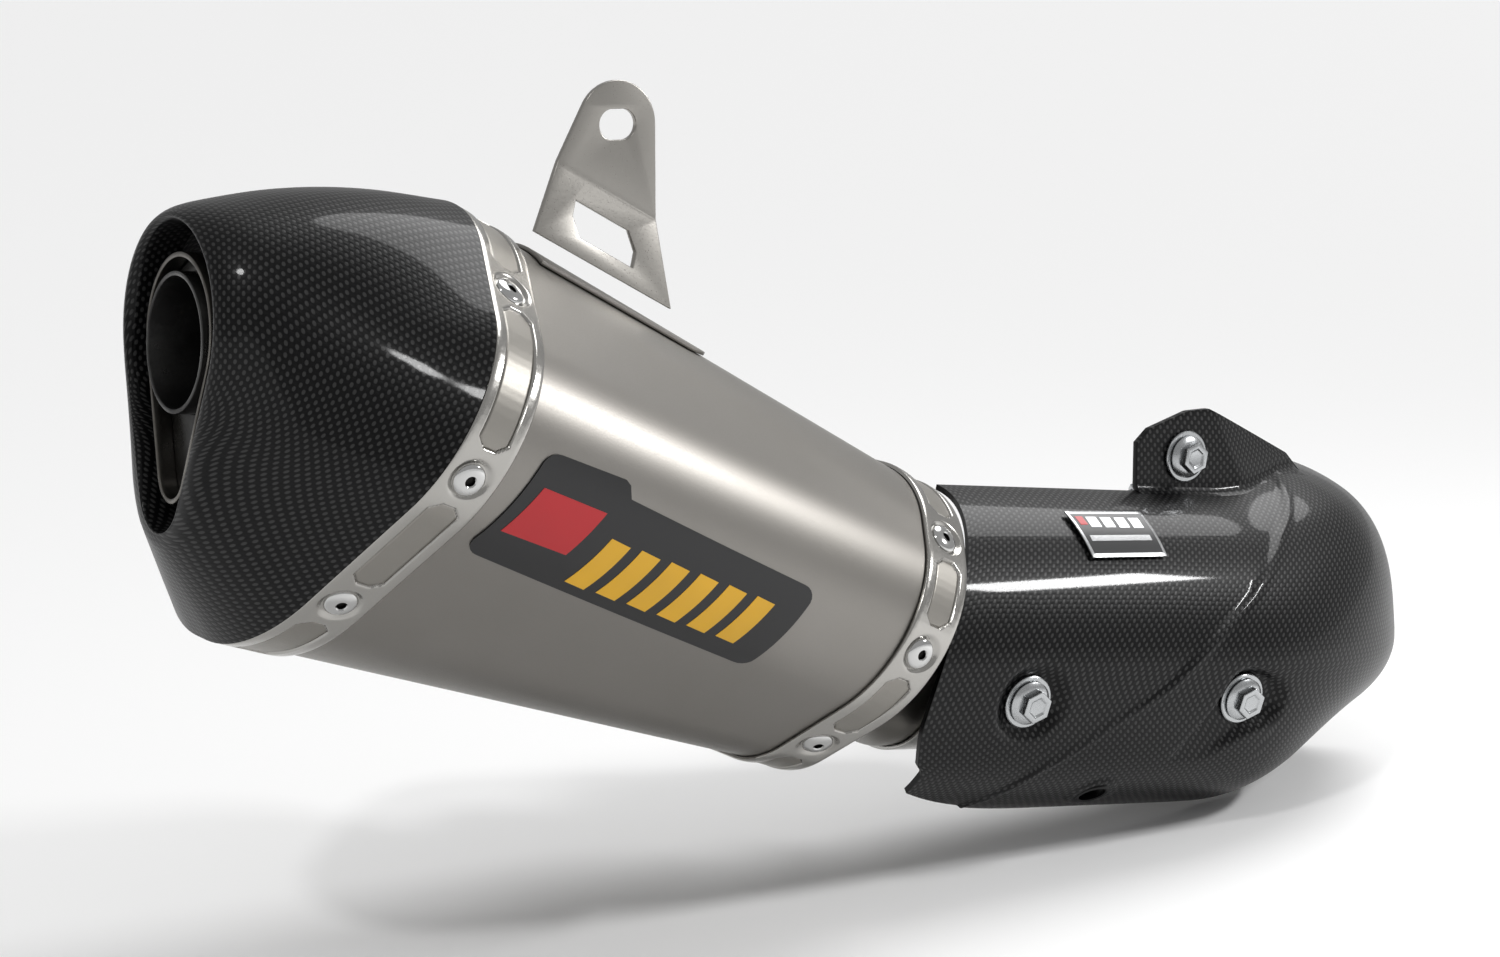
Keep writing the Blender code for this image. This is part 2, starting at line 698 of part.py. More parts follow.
def make_band(name, start, end_name):
    rows = [section_row(start, 0.0), section_row(start + BAND_WIDTH, 0.0)]
    rows += [section_row(start + BAND_WIDTH, BAND_THICK), section_row(start, BAND_THICK)]
    made = ring_loft(name, rows, "titanium_polished")
    return combine(made, rivet_drills(end_name, "c"), "DIFFERENCE")


def egg_row(upper_r, upper_z, lower_r, lower_z, inset, x, lean=0.0, angles=None):
    centre = Vector((0.0, (upper_z + lower_z) / 2.0))
    outline = egg_outline(upper_r, upper_z, lower_r, lower_z, inset)
    flat = sample_outline(outline, centre, angles or full_turn())
    return [outlet(x + lean * point.y, point.x, point.y) for point in flat]


def mix_rows(first, last, share):
    return [a + (b - a) * share for a, b in zip(first, last)]


def make_end_cap():
    under = BAND_WIDTH - END_SETBACK - FIT_GAP
    mouth = egg_row(MOUTH_UPPER_R, MOUTH_UPPER_Z, MOUTH_LOWER_R, MOUTH_LOWER_Z, 0.0,
                    CAP_MOUTH_X, CAP_MOUTH_LEAN)
    middle = outlet(CAP_MOUTH_X, 0.0, (MOUTH_UPPER_Z + MOUTH_LOWER_Z) / 2.0)
    turns = [math.radians(angle_deg) for angle_deg in full_turn()]
    for index, turn in enumerate(turns):
        if math.cos(turn) > 0.0:
            fuller = 1.0 + MOUTH_SQUARE * math.sin(2.0 * turn) ** 2
            mouth[index] = middle + (mouth[index] - middle) * fuller
    recess = egg_row(RECESS_UPPER_R, RECESS_UPPER_Z, RECESS_LOWER_R, RECESS_LOWER_Z, 0.0, CAP_FACE_X)
    start = section_row(-FIT_GAP, 0.0)
    heart = sum(mouth, Vector()) / len(mouth)
    forward = outlet_forward()
    face = outlet(CAP_FACE_X, 0.0, 0.0)
    rows = [section_row(under, SPIGOT_INSET), section_row(-FIT_GAP, SPIGOT_INSET), start]
    for step in range(1, CAP_ROWS + 1):
        share = step / CAP_ROWS
        row = []
        for turn, near, far in zip(turns, start, mouth):
            slant = far - near
            outward = near + slant * 0.5 - heart
            outward = (outward - slant * (outward.dot(slant) / slant.length_squared)).normalized()
            bulge = 2.0 * share * (1.0 - share) * CAP_BULGE * (1.0 + math.cos(turn)) * slant.length
            row.append(near + slant * share + outward * bulge)
        rows.append(row)
    for share, x_share in CAP_FACE_ROWS:
        flat = mix_rows(mouth, recess, share)
        row = []
        for point, edge in zip(flat, mouth):
            on_face = point - forward * (point - face).dot(forward)
            row.append(on_face + forward * (edge - face).dot(forward) * (1.0 - x_share))
        rows.append(row)
    rows.append([point + forward * RECESS_LIP for point in recess])
    rows.append([point + forward * RECESS_DEPTH for point in recess])
    rows.append(egg_row(RING_UPPER_R, RING_UPPER_Z, RING_LOWER_R, RING_LOWER_Z,
                        -FIT_GAP, CAP_FACE_X + RECESS_DEPTH))
    points = [point for row in rows for point in row]
    mesh = bpy.data.meshes.new("end_cap")
    faces = ring_faces(len(rows), len(rows[0]), close_rows=False)
    mesh.from_pydata([tuple(point) for point in points], [], faces)
    shape = bmesh.new()
    shape.from_mesh(mesh)
    bmesh.ops.recalc_face_normals(shape, faces=shape.faces)
    shape.faces.ensure_lookup_table()
    middle = shape.faces[len(rows[0]) * 4]
    if middle.normal.dot(middle.calc_center_median() - heart) < 0.0:
        bmesh.ops.reverse_faces(shape, faces=shape.faces)
    shape.to_mesh(mesh)
    shape.free()
    made = add_object("end_cap", mesh, "carbon_gloss")
    solid = made.modifiers.new("thickness", "SOLIDIFY")
    solid.thickness = SPIGOT_THICK
    solid.offset = -1.0
    solid.use_even_offset = True
    apply_modifiers(made)
    return combine(made, rivet_drills("rear", "d"), "DIFFERENCE")


def make_rivets():
    for name, end, u, angle in rivet_places():
        point, normal = section_normal(u, angle)
        top = FIT_GAP
        wall = FLANGE_INSET if end == "rear" else SPIGOT_INSET + FRONT_CAP_THICK + FIT_GAP
        profile = [(RIVET_BORE_R, top + RIVET_HEAD_H),
                   (RIVET_HEAD_R * 0.55, top + RIVET_HEAD_H),
                   (RIVET_HEAD_R * 0.88, top + RIVET_HEAD_H * 0.62),
                   (RIVET_HEAD_R, top),
                   (RIVET_SHANK_R, top),
                   (RIVET_SHANK_R, -wall - RIVET_TAIL),
                   (RIVET_BORE_R, -wall - RIVET_TAIL)]
        placed = matrix_along(point, normal, Vector((1.0, 0.1, 0.3)))
        lathe(name, profile, placed, "rivet_steel", 12)


def make_bulkhead():
    """Plate across the rear of the sleeve with a flange turned forwards under the end cap's spigot."""
    front = BULKHEAD_U + BULKHEAD_FLANGE
    inner = FLANGE_INSET + BULKHEAD_THICK

    def hole_row(u):
        row = []
        for angle_deg in full_turn():
            angle = math.radians(angle_deg)
            side = -BULKHEAD_HOLE_R * math.sin(angle)
            row.append(muffler(u, side, CORE_START_W + BULKHEAD_HOLE_R * math.cos(angle)))
        return row
    rows = [section_row(front, FLANGE_INSET), section_row(BULKHEAD_U, FLANGE_INSET)]
    rows += [hole_row(BULKHEAD_U), hole_row(BULKHEAD_U + BULKHEAD_THICK)]
    rows += [section_row(BULKHEAD_U + BULKHEAD_THICK, inner), section_row(front, inner)]
    made = ring_loft("rear_bulkhead", rows, "steel_dark")
    return combine(made, rivet_drills("rear", "e"), "DIFFERENCE")


def make_outlet_ring():
    seat = muffler(BULKHEAD_U - FIT_GAP, 0.0, 0.0)
    square = muffler(1.0, 0.0, 0.0) - muffler(0.0, 0.0, 0.0)
    forward = outlet_forward()

    def end_row(inset):
        flat = egg_row(RING_UPPER_R, RING_UPPER_Z, RING_LOWER_R, RING_LOWER_Z, inset, RING_FACE_X)
        return [point + forward * ((seat - point).dot(square) / forward.dot(square)) for point in flat]
    outer = egg_row(RING_UPPER_R, RING_UPPER_Z, RING_LOWER_R, RING_LOWER_Z, 0.0, RING_FACE_X)
    inner = egg_row(RING_UPPER_R, RING_UPPER_Z, RING_LOWER_R, RING_LOWER_Z, RING_THICK, RING_FACE_X)
    return ring_loft("outlet_duct", [outer, end_row(0.0), end_row(RING_THICK), inner], "steel_bright")


def make_damper():
    joint_point = outlet(RING_FACE_X - DAMPER_PROUD, 0.0, DAMPER_Z)
    outward = -outlet_forward()
    inner = DAMPER_R - DAMPER_THICK
    profile = [(inner, 0.0), (DAMPER_R, 0.0), (DAMPER_R, -DAMPER_LENGTH), (inner, -DAMPER_LENGTH)]
    placed = matrix_along(joint_point, outward, Vector((0.0, 0.0, 1.0)))
    tube = lathe("damper_tube", profile, placed, "steel_dark", 30)
    set_origin(tube, joint_point)
    front = RING_FACE_X + DAMPER_PLATE_BACK
    back = front + DAMPER_PLATE_THICK
    inset = RING_THICK + DAMPER_FIT
    centre = Vector((0.0, DAMPER_Z))
    angles = full_turn()

    def egg(x):
        outline = egg_outline(RING_UPPER_R, RING_UPPER_Z, RING_LOWER_R, RING_LOWER_Z, inset)
        return [outlet(x, p.x, p.y) for p in sample_outline(outline, centre, angles)]

    def hole(x):
        reach = DAMPER_R + FIT_GAP * 0.5
        row = []
        for angle_deg in angles:
            angle = math.radians(angle_deg)
            row.append(outlet(x, -reach * math.sin(angle), centre.y + reach * math.cos(angle)))
        return row
    plate = ring_loft("damper_plate", [egg(front), egg(back), hole(back), hole(front)], "steel_dark")
    set_origin(plate, joint_point)


def core_axis():
    start = muffler(CORE_START_U, 0.0, CORE_START_W)
    end = muffler(CORE_END_U, 0.0, CORE_END_W)
    return start, end


def make_core():
    start, end = core_axis()
    direction = (end - start).normalized()
    length = (end - start).length
    inner = CORE_R - CORE_THICK
    profile = [(inner, length), (CORE_R, length), (CORE_R, 0.0), (inner, 0.0)]
    placed = matrix_along(start, direction, Vector((0.0, 1.0, 0.0)))
    core = lathe("perforated_core", profile, placed, "steel_dark", 30)
    cutters = []
    for row in range(CORE_HOLE_ROWS):
        along = length * (row + 1.0) / (CORE_HOLE_ROWS + 1.0)
        for index in range(CORE_HOLES_ROUND // 2):
            turn = 2.0 * math.pi * (index + 0.5 * (row % 2)) / CORE_HOLES_ROUND
            across = placed.to_3x3() @ Vector((math.cos(turn), math.sin(turn), 0.0))
            where = start + direction * along
            name = "core_hole_" + str(row) + "_" + str(index)
            cutters.append(drill(name, CORE_HOLE_R, where, across, CORE_R * 3.0, 8))
    return combine(core, cutters, "DIFFERENCE")


def make_packing():
    start, end = core_axis()
    direction = (end - start).normalized()
    inset = SLEEVE_INSET + SLEEVE_THICK + PACKING_SKIN_GAP
    reach = CORE_R + FIT_GAP * 2.0

    def core_row(u):
        centre = start + (end - start) * ((u - CORE_START_U) / (CORE_END_U - CORE_START_U))
        up = muffler(0.0, 0.0, 1.0) - muffler(0.0, 0.0, 0.0)
        stretch = 1.0 / direction.dot(muffler(1.0, 0.0, 0.0) - muffler(0.0, 0.0, 0.0))
        row = []
        for angle_deg in full_turn():
            angle = math.radians(angle_deg)
            side = Vector((0.0, -reach * math.sin(angle), 0.0))
            row.append(centre + side + up * reach * stretch * math.cos(angle))
        return row
    rows = [section_row(PACKING_START_U, inset), section_row(BODY_LENGTH * 0.5, inset)]
    rows.append(section_row(PACKING_END_U, inset))
    rows += [core_row(PACKING_END_U), core_row(PACKING_START_U)]
    return ring_loft("packing", rows, "glass_wool")


def stub_row(along, radius):
    return [pipe_point(along, radius, angle) for angle in full_turn()]


def cone_waist(first, last):
    """Rows between two ends of the front cap's cone, drawn in towards the line of their centres."""
    heart_first = sum(first, Vector()) / len(first)
    heart_last = sum(last, Vector()) / len(last)
    rows = []
    for share in (0.25, 0.5, 0.75):
        heart = heart_first + (heart_last - heart_first) * share
        narrow = 1.0 - CAP_WAIST * 4.0 * share * (1.0 - share)
        rows.append([heart + (point - heart) * narrow for point in mix_rows(first, last, share)])
    return rows


def make_front_cap():
    stub_out = PIPE_R + SLIP_GAP + STUB_THICK
    stub_in = PIPE_R + SLIP_GAP
    under = BODY_LENGTH + END_SETBACK
    lip = BODY_LENGTH + BAND_WIDTH + FIT_GAP
    outer_in = SPIGOT_INSET
    inner_in = SPIGOT_INSET + FRONT_CAP_THICK
    outer_lip = section_row(lip, outer_in)
    inner_lip = section_row(lip - FRONT_CAP_THICK, inner_in)
    outer_neck = stub_row(0.0, stub_out)
    inner_neck = stub_row(0.0, stub_in)
    rows = [section_row(under, outer_in), outer_lip] + cone_waist(outer_lip, outer_neck)
    rows += [outer_neck, stub_row(STUB_LENGTH, stub_out), stub_row(STUB_LENGTH, stub_in), inner_neck]
    rows += cone_waist(inner_neck, inner_lip)
    rows += [inner_lip, section_row(under, inner_in)]
    made = ring_loft("front_cap", rows, "titanium_satin")
    return combine(made, rivet_drills("front", "f"), "DIFFERENCE")


# ---- hanger bracket ------------------------------------------------------------------------------
def bend_height(x):
    return -BRACKET_BEND_DROP - x * math.tan(math.radians(BRACKET_SLOPE_DEG))


def make_bracket():
    front_base = bend_height(BRACKET_FRONT_BASE_X) - BRACKET_LEG
    rear_base = bend_height(BRACKET_REAR_BASE_X) - BRACKET_LEG
    run = Vector((BRACKET_REAR_BASE_X - EYE_X, rear_base - EYE_Z))
    tangent = math.atan2(run.y, run.x) - math.acos(EYE_OUTER_R / run.length) + 2.0 * math.pi
    outline = []
    steps = 18
    for step in range(steps + 1):
        turn = tangent * (1.0 - step / steps)
        outline.append((EYE_X + EYE_OUTER_R * math.cos(turn), EYE_Z + EYE_OUTER_R * math.sin(turn)))
    outline.append((EYE_X + EYE_OUTER_R, bend_height(EYE_X + EYE_OUTER_R)))
    outline.append((BRACKET_FRONT_BASE_X, front_base))
    outline.append((BRACKET_REAR_BASE_X, rear_base))
    slot = []
    run = EYE_SLOT_LONG / 2.0 - EYE_SLOT_HALF
    for step in range(9):
        turn = -math.pi / 2.0 + math.pi * step / 8
        slot.append((EYE_X + run + EYE_SLOT_HALF * math.cos(turn), EYE_Z + EYE_SLOT_HALF * math.sin(turn)))
    for step in range(9):
        turn = math.pi / 2.0 + math.pi * step / 8
        slot.append((EYE_X - run + EYE_SLOT_HALF * math.cos(turn), EYE_Z + EYE_SLOT_HALF * math.sin(turn)))
    slope = math.radians(BRACKET_SLOPE_DEG)
    middle_z = bend_height(WINDOW_X) - WINDOW_DROP
    window = []
    for run_share, rise_share in ((-0.42, 0.5), (0.42, 0.5), (0.5, 0.0),
                                  (0.42, -0.5), (-0.42, -0.5), (-0.5, 0.0)):
        x = WINDOW_X + run_share * WINDOW_LONG * math.cos(slope)
        z = middle_z - run_share * WINDOW_LONG * math.sin(slope) + rise_share * WINDOW_TALL
        window.append((x, z))
    stand = Matrix.Rotation(math.radians(90.0), 4, "X")
    upright = Matrix.Translation((0.0, BRACKET_THICK / 2.0, 0.0)) @ stand
    made = prism("hanger_bracket", outline, BRACKET_THICK, upright, "titanium_satin", [slot, window])
    made.data.transform(made.matrix_world)
    made.matrix_world = Matrix.Identity(4)
    shape = bmesh.new()
    shape.from_mesh(made.data)
    line_normal = Vector((math.sin(slope), 0.0, math.cos(slope)))
    line_point = Vector((0.0, 0.0, bend_height(0.0)))
    everything = shape.verts[:] + shape.edges[:] + shape.faces[:]
    bmesh.ops.bisect_plane(shape, geom=everything, plane_co=line_point, plane_no=line_normal)
    for vertex in shape.verts:
        drop = (line_point - vertex.co).dot(line_normal) / line_normal.z
        if drop > 0.0000001:
            vertex.co.y -= drop * BRACKET_LEAN
    bmesh.ops.recalc_face_normals(shape, faces=shape.faces)
    shape.to_mesh(made.data)
    shape.free()
    return made


def make_foot():
    """Strip on top of the sleeve that the bracket is welded to."""
    rows = []
    steps = 8
    angles = [FOOT_DEG_IN + (FOOT_DEG_OUT - FOOT_DEG_IN) * step / steps for step in range(steps + 1)]
    length = FOOT_END_U - FOOT_START_U
    nose = 1.0 - FOOT_NOSE_SHARE
    for share in (0.0, 0.5, nose, nose + 0.08, nose + 0.12, 1.0):
        u = FOOT_START_U + length * share
        narrow = 0.0 if share <= nose else (share - nose) / FOOT_NOSE_SHARE
        middle = (FOOT_DEG_IN + FOOT_DEG_OUT) / 2.0
        shrink = math.sqrt(1.0 - FOOT_NOSE_ROUND * narrow * narrow)
        across = [middle + (angle - middle) * shrink for angle in angles]
        low = section_row(u, SLEEVE_INSET - FIT_GAP, across)
        high = section_row(u, SLEEVE_INSET - FIT_GAP - FOOT_THICK, across)
        rows.append(low + high[::-1])
    return bar_loft("bracket_foot", rows, "titanium_satin")


# ---- badges --------------------------------------------------------------------------------------
def make_sleeve_badge():
    columns = []
    top = [(BADGE_TOP_REAR_U, BADGE_TOP_REAR_DEG), (BADGE_STEP_U, BADGE_STEP_HIGH_DEG),
           (BADGE_STEP_U + BADGE_STEP_RUN, BADGE_STEP_LOW_DEG),
           (0.5 * (BADGE_STEP_U + BADGE_TOP_FRONT_U), BADGE_TOP_MIDDLE_DEG),
           (BADGE_TOP_FRONT_U, BADGE_TOP_FRONT_DEG)]
    span = BADGE_TOP_FRONT_U - BADGE_TOP_REAR_U
    for top_u, top_deg in top:
        share = (top_u - BADGE_TOP_REAR_U) / span
        low_u = BADGE_BOTTOM_REAR_U + (BADGE_BOTTOM_FRONT_U - BADGE_BOTTOM_REAR_U) * share
        low_deg = BADGE_BOTTOM_REAR_DEG + (BADGE_BOTTOM_FRONT_DEG - BADGE_BOTTOM_REAR_DEG) * share
        column = []
        for step in range(9):
            down = step / 8
            u = top_u + (low_u - top_u) * down
            angle = top_deg + (low_deg - top_deg) * down
            column.append((u, angle))
        columns.append(column)
    lift = SLEEVE_INSET - FIT_GAP
    rows = []
    for column in columns:
        low = [section_row(u, lift, [angle])[0] for u, angle in column]
        high = [section_row(u, lift - BADGE_THICK, [angle])[0] for u, angle in column]
        rows.append(low + high[::-1])
    return bar_loft("sleeve_badge", rows, "black_badge")


def make_shield_plate():
    rows = []
    inner = SHIELD_R + FIT_GAP
    for step in range(9):
        along = PLATE_START + (PLATE_END - PLATE_START) * step / 8
        row = []
        for reach, order in ((inner, range(6)), (inner + PLATE_THICK, range(5, -1, -1))):
            for index in order:
                share = index / 5
                angle = PLATE_TOP_DEG + (PLATE_BOTTOM_DEG - PLATE_TOP_DEG) * share
                row.append(pipe_point(along, reach, angle))
        rows.append(row)
    return bar_loft("shield_badge", rows, "grey_badge")


# ---- link pipe and clamps ------------------------------------------------------------------------
def make_link_pipe():
    start = STUB_LENGTH - PIPE_IN_STUB
    bend_length = LINK_BEND_R * math.radians(LINK_BEND_DEG)
    stations = [start, LINK_STRAIGHT]
    stations += [LINK_STRAIGHT + bend_length * (step + 1) / BEND_ROWS for step in range(BEND_ROWS)]
    stations.append(LINK_STRAIGHT + bend_length + LINK_TAIL)
    angles = full_turn(PIPE_POINTS)
    inner = PIPE_R - PIPE_THICK
    rows = [[pipe_point(along, PIPE_R, angle) for angle in angles] for along in stations]
    rows += [[pipe_point(along, inner, angle) for angle in angles] for along in reversed(stations)]
    return ring_loft("link_pipe", rows, "steel_dark")


def pipe_end():
    return LINK_STRAIGHT + LINK_BEND_R * math.radians(LINK_BEND_DEG) + LINK_TAIL


def make_collar():
    """Expanded socket round the link pipe's front end, which takes the header's outlet."""
    end = pipe_end()
    start = end - COLLAR_LENGTH * 0.4
    angles = full_turn(PIPE_POINTS)
    inner = PIPE_R + FIT_GAP
    outer = inner + COLLAR_THICK
    stop = end + COLLAR_LENGTH * 0.6
    stations = [start, stop]
    rows = [[pipe_point(along, outer, angle) for angle in angles] for along in stations]
    rows += [[pipe_point(along, inner, angle) for angle in angles] for along in reversed(stations)]
    return ring_loft("inlet_collar", rows, "steel_bright")


def make_clamp(prefix, along, inner_r, turn_deg):
    """Split band clamp with two ears, a bolt and a nut, centred on the pipe axis."""
    centre, direction, up, outboard = pipe_frame(along)
    turn = math.radians(turn_deg)
    ears = up * math.cos(turn) - outboard * math.sin(turn)
    placed = matrix_along(centre, direction, ears)
    outer_r = inner_r + CLAMP_THICK
    half_gap = inner_r * math.sin(math.radians(CLAMP_SPLIT_DEG / 2.0))
    ear_out = half_gap + CLAMP_EAR_THICK
    tip = outer_r + CLAMP_EAR_HEIGHT
    outline = []
    first = math.asin(ear_out / outer_r)
    steps = 40
    outline.append((tip, ear_out))
    for step in range(steps + 1):
        angle = first + (2.0 * math.pi - 2.0 * first) * step / steps
        outline.append((outer_r * math.cos(angle), outer_r * math.sin(angle)))
    outline.append((tip, -ear_out))
    outline.append((tip, -half_gap))
    first = math.asin(half_gap / inner_r)
    for step in range(steps + 1):
        angle = 2.0 * math.pi - first - (2.0 * math.pi - 2.0 * first) * step / steps
        outline.append((inner_r * math.cos(angle), inner_r * math.sin(angle)))
    outline.append((tip, half_gap))
    band = prism(prefix + "_band", outline, CLAMP_WIDTH, placed, "steel_bright")
    axis = placed.to_3x3() @ Vector((0.0, 1.0, 0.0))
    bolt_reach = outer_r + CLAMP_EAR_HEIGHT * 0.55
    middle = placed @ Vector((bolt_reach, 0.0, 0.0))
    hole = drill(prefix + "_hole", CLAMP_BOLT_R + HOLE_CLEAR, middle, axis, ear_out * 4.0, 12)
    combine(band, [hole], "DIFFERENCE")
    set_origin(band, centre)
    side = placed.to_3x3() @ Vector((1.0, 0.0, 0.0))
    seat = ear_out + FIT_GAP
    shank = 2.0 * seat + CLAMP_NUT_H + CLAMP_BOLT_PROUD
    hexagon = [(CLAMP_HEAD_R * math.cos(math.pi * k / 3.0), CLAMP_HEAD_R * math.sin(math.pi * k / 3.0))
               for k in range(6)]
    head_place = matrix_along(middle + axis * (seat + CLAMP_HEAD_H / 2.0), axis, side)
    bolt = prism(prefix + "_bolt", hexagon, CLAMP_HEAD_H, head_place, "zinc_plate")
    half = (shank + CLAMP_HEAD_H / 2.0) / 2.0
    rod = drill(prefix + "_shank", CLAMP_BOLT_R, middle + axis * (seat + CLAMP_HEAD_H / 2.0 - half),
                axis, half * 2.0, 16)
    combine(bolt, [rod], "UNION")
    set_origin(bolt, centre)
    nut_place = matrix_along(middle - axis * (seat + CLAMP_NUT_H / 2.0), axis, side)
    bore = circle_loop(CLAMP_BOLT_R + FIT_GAP * 0.3, 0.0, 0.0, 16)
    nut = prism(prefix + "_nut", hexagon, CLAMP_NUT_H, nut_place, "zinc_plate", [bore])
    set_origin(nut, centre)


# ---- heat shield ---------------------------------------------------------------------------------
def bolt_places():
    """Number, seat point, outward direction and depth to the boss of each shield bolt."""
    places = []
    for number, along, angle in ((1, LOWER_BOLT_1_ALONG, LOWER_BOLT_DEG),
                                 (2, LOWER_BOLT_2_ALONG, LOWER_BOLT_DEG)):
        centre, direction, up, outboard = pipe_frame(along)
        outward = up * math.cos(math.radians(angle)) + outboard * math.sin(math.radians(angle))
        seat = centre + outward * (SHIELD_R - DIMPLE_DEPTH)
        places.append((number, seat, outward, SHIELD_THICK))
    ear = datum(EAR_BOLT_X, EAR_FACE_Y, EAR_BOLT_Z)
    places.append((3, ear, Vector((0.0, -1.0, 0.0)), EAR_THICK))
    return places


def smooth(share):
    """Ease from 0 to 1."""
    held = max(0.0, min(1.0, share))
    return held * held * (3.0 - 2.0 * held)


def shield_start(angle_deg):
    """Where the shield's rear edge lies at an angle round the pipe."""
    if angle_deg < SHIELD_SIDE_DEG:
        share = (angle_deg - SHIELD_TOP_DEG) / (SHIELD_SIDE_DEG - SHIELD_TOP_DEG)
        return SHIELD_START_TOP + (SHIELD_START_SIDE - SHIELD_START_TOP) * smooth(share)
    share = (angle_deg - SHIELD_SIDE_DEG) / (SHIELD_CORNER_DEG - SHIELD_SIDE_DEG)
    return SHIELD_START_SIDE + (SHIELD_START_CORNER - SHIELD_START_SIDE) * smooth(share)


def shield_point(station, angle_deg):
    """Point on the shield's outer face for a station along it and a nominal angle."""
    lead = 0.0100 + 0.0500 * smooth((70.0 - angle_deg) / 40.0)
    along = station + shield_start(angle_deg) * max(0.0, 1.0 - station / lead)
    run = max(0.0, min(1.0, (along - SHIELD_START_CORNER) / SHIELD_EDGE_RUN))
    lower = SHIELD_BOTTOM_DEG - (SHIELD_BOTTOM_DEG - SHIELD_CORNER_DEG) * (1.0 - run) ** 2
    fixed = LOWER_BOLT_DEG + 24.0
    angle = angle_deg
    if angle_deg > fixed:
        angle = fixed + (angle_deg - fixed) * (lower - fixed) / (SHIELD_BOTTOM_DEG - fixed)
    return pipe_point(along, shield_radius(along, angle), angle)


def shield_radius(along, angle_deg):
    """Outer radius: swollen on top round the bend, with a flat-floored dimple at each lower bolt."""
    swell = smooth((along - SHOULDER_START) / SHOULDER_RUN) * smooth((80.0 - angle_deg) / 50.0)
    tuck = smooth((along - TUCK_START) / TUCK_RUN) * smooth((angle_deg - 85.0) / 45.0)
    skin = SHIELD_R + SHOULDER_RISE * swell - SHIELD_TUCK * tuck
    reach = skin
    centre, direction, up, outboard = pipe_frame(along)
    angle = math.radians(angle_deg)
    ray = up * math.cos(angle) + outboard * math.sin(angle)
    for number, seat, outward, thickness in bolt_places()[:2]:
        bolt_along = LOWER_BOLT_1_ALONG if number == 1 else LOWER_BOLT_2_ALONG
        arc = math.radians(angle_deg - LOWER_BOLT_DEG) * SHIELD_R
        distance = ((along - bolt_along) ** 4 + arc ** 4) ** 0.25
        if distance < DIMPLE_OUTER_R:
            share = (DIMPLE_OUTER_R - distance) / (DIMPLE_OUTER_R - DIMPLE_FLAT_R)
            floor = (seat - centre).dot(outward) / ray.dot(outward)
            reach = min(reach, skin + (floor - skin) * smooth(share))
    return reach


def grid_stations(first, last, seats, scale):
    """Even stations, replaced near each bolt seat by ones that frame its dimple."""
    framed = []
    for seat in seats:
        for reach in (0.0, DIMPLE_FLAT_R * 0.8, DIMPLE_FLAT_R * 1.15, DIMPLE_OUTER_R):
            framed += [seat - reach * scale, seat + reach * scale] if reach else [seat]
    count = max(2, round((last - first) / (SHIELD_PITCH * scale)))
    even = [first + (last - first) * index / count for index in range(count + 1)]
    clear = DIMPLE_OUTER_R * scale * 1.15
    kept = [value for value in even if all(abs(value - seat) > clear for seat in seats)]
    inside = [value for value in framed if first < value < last]
    return sorted(set(kept + inside + [first, last]))


def make_shield():
    stop = LINK_STRAIGHT + LINK_BEND_R * math.radians(SHIELD_BEND_DEG)
    seats = (LOWER_BOLT_1_ALONG, LOWER_BOLT_2_ALONG)
    stations = grid_stations(0.0, stop, seats, 1.0)
    angles = grid_stations(SHIELD_TOP_DEG, SHIELD_BOTTOM_DEG, (LOWER_BOLT_DEG,), math.degrees(1.0 / SHIELD_R))
    grid = []
    for along in stations:
        grid.append([shield_point(along, angle) for angle in angles])
    made = shell_from_grid("heat_shield", grid, SHIELD_THICK, "carbon_gloss")
    ear_outline = [(EAR_BOLT_X + across, EAR_BOLT_Z + rise) for across, rise in EAR_OUTLINE]
    placed = Matrix.Translation(datum(0.0, EAR_FACE_Y + EAR_THICK / 2.0, 0.0))
    placed = placed @ Matrix.Rotation(math.radians(90.0), 4, "X")
    ear = prism("shield_ear", ear_outline, EAR_THICK, placed, None, cutter=True)
    combine(made, [ear], "UNION")
    cutters = []
    for number, seat, outward, thickness in bolt_places():
        hole_r = BOLT_R + HOLE_CLEAR
        cutters.append(drill("shield_hole_" + str(number), hole_r, seat, outward, SHIELD_DRILL_LENGTH, 16))
    vent = pipe_point(SHIELD_VENT_ALONG, SHIELD_R, SHIELD_VENT_DEG)
    centre = pipe_frame(SHIELD_VENT_ALONG)[0]
    cutters.append(drill("shield_vent", SHIELD_VENT_R, vent, vent - centre, SHIELD_DRILL_LENGTH, 20))
    return combine(made, cutters, "DIFFERENCE")


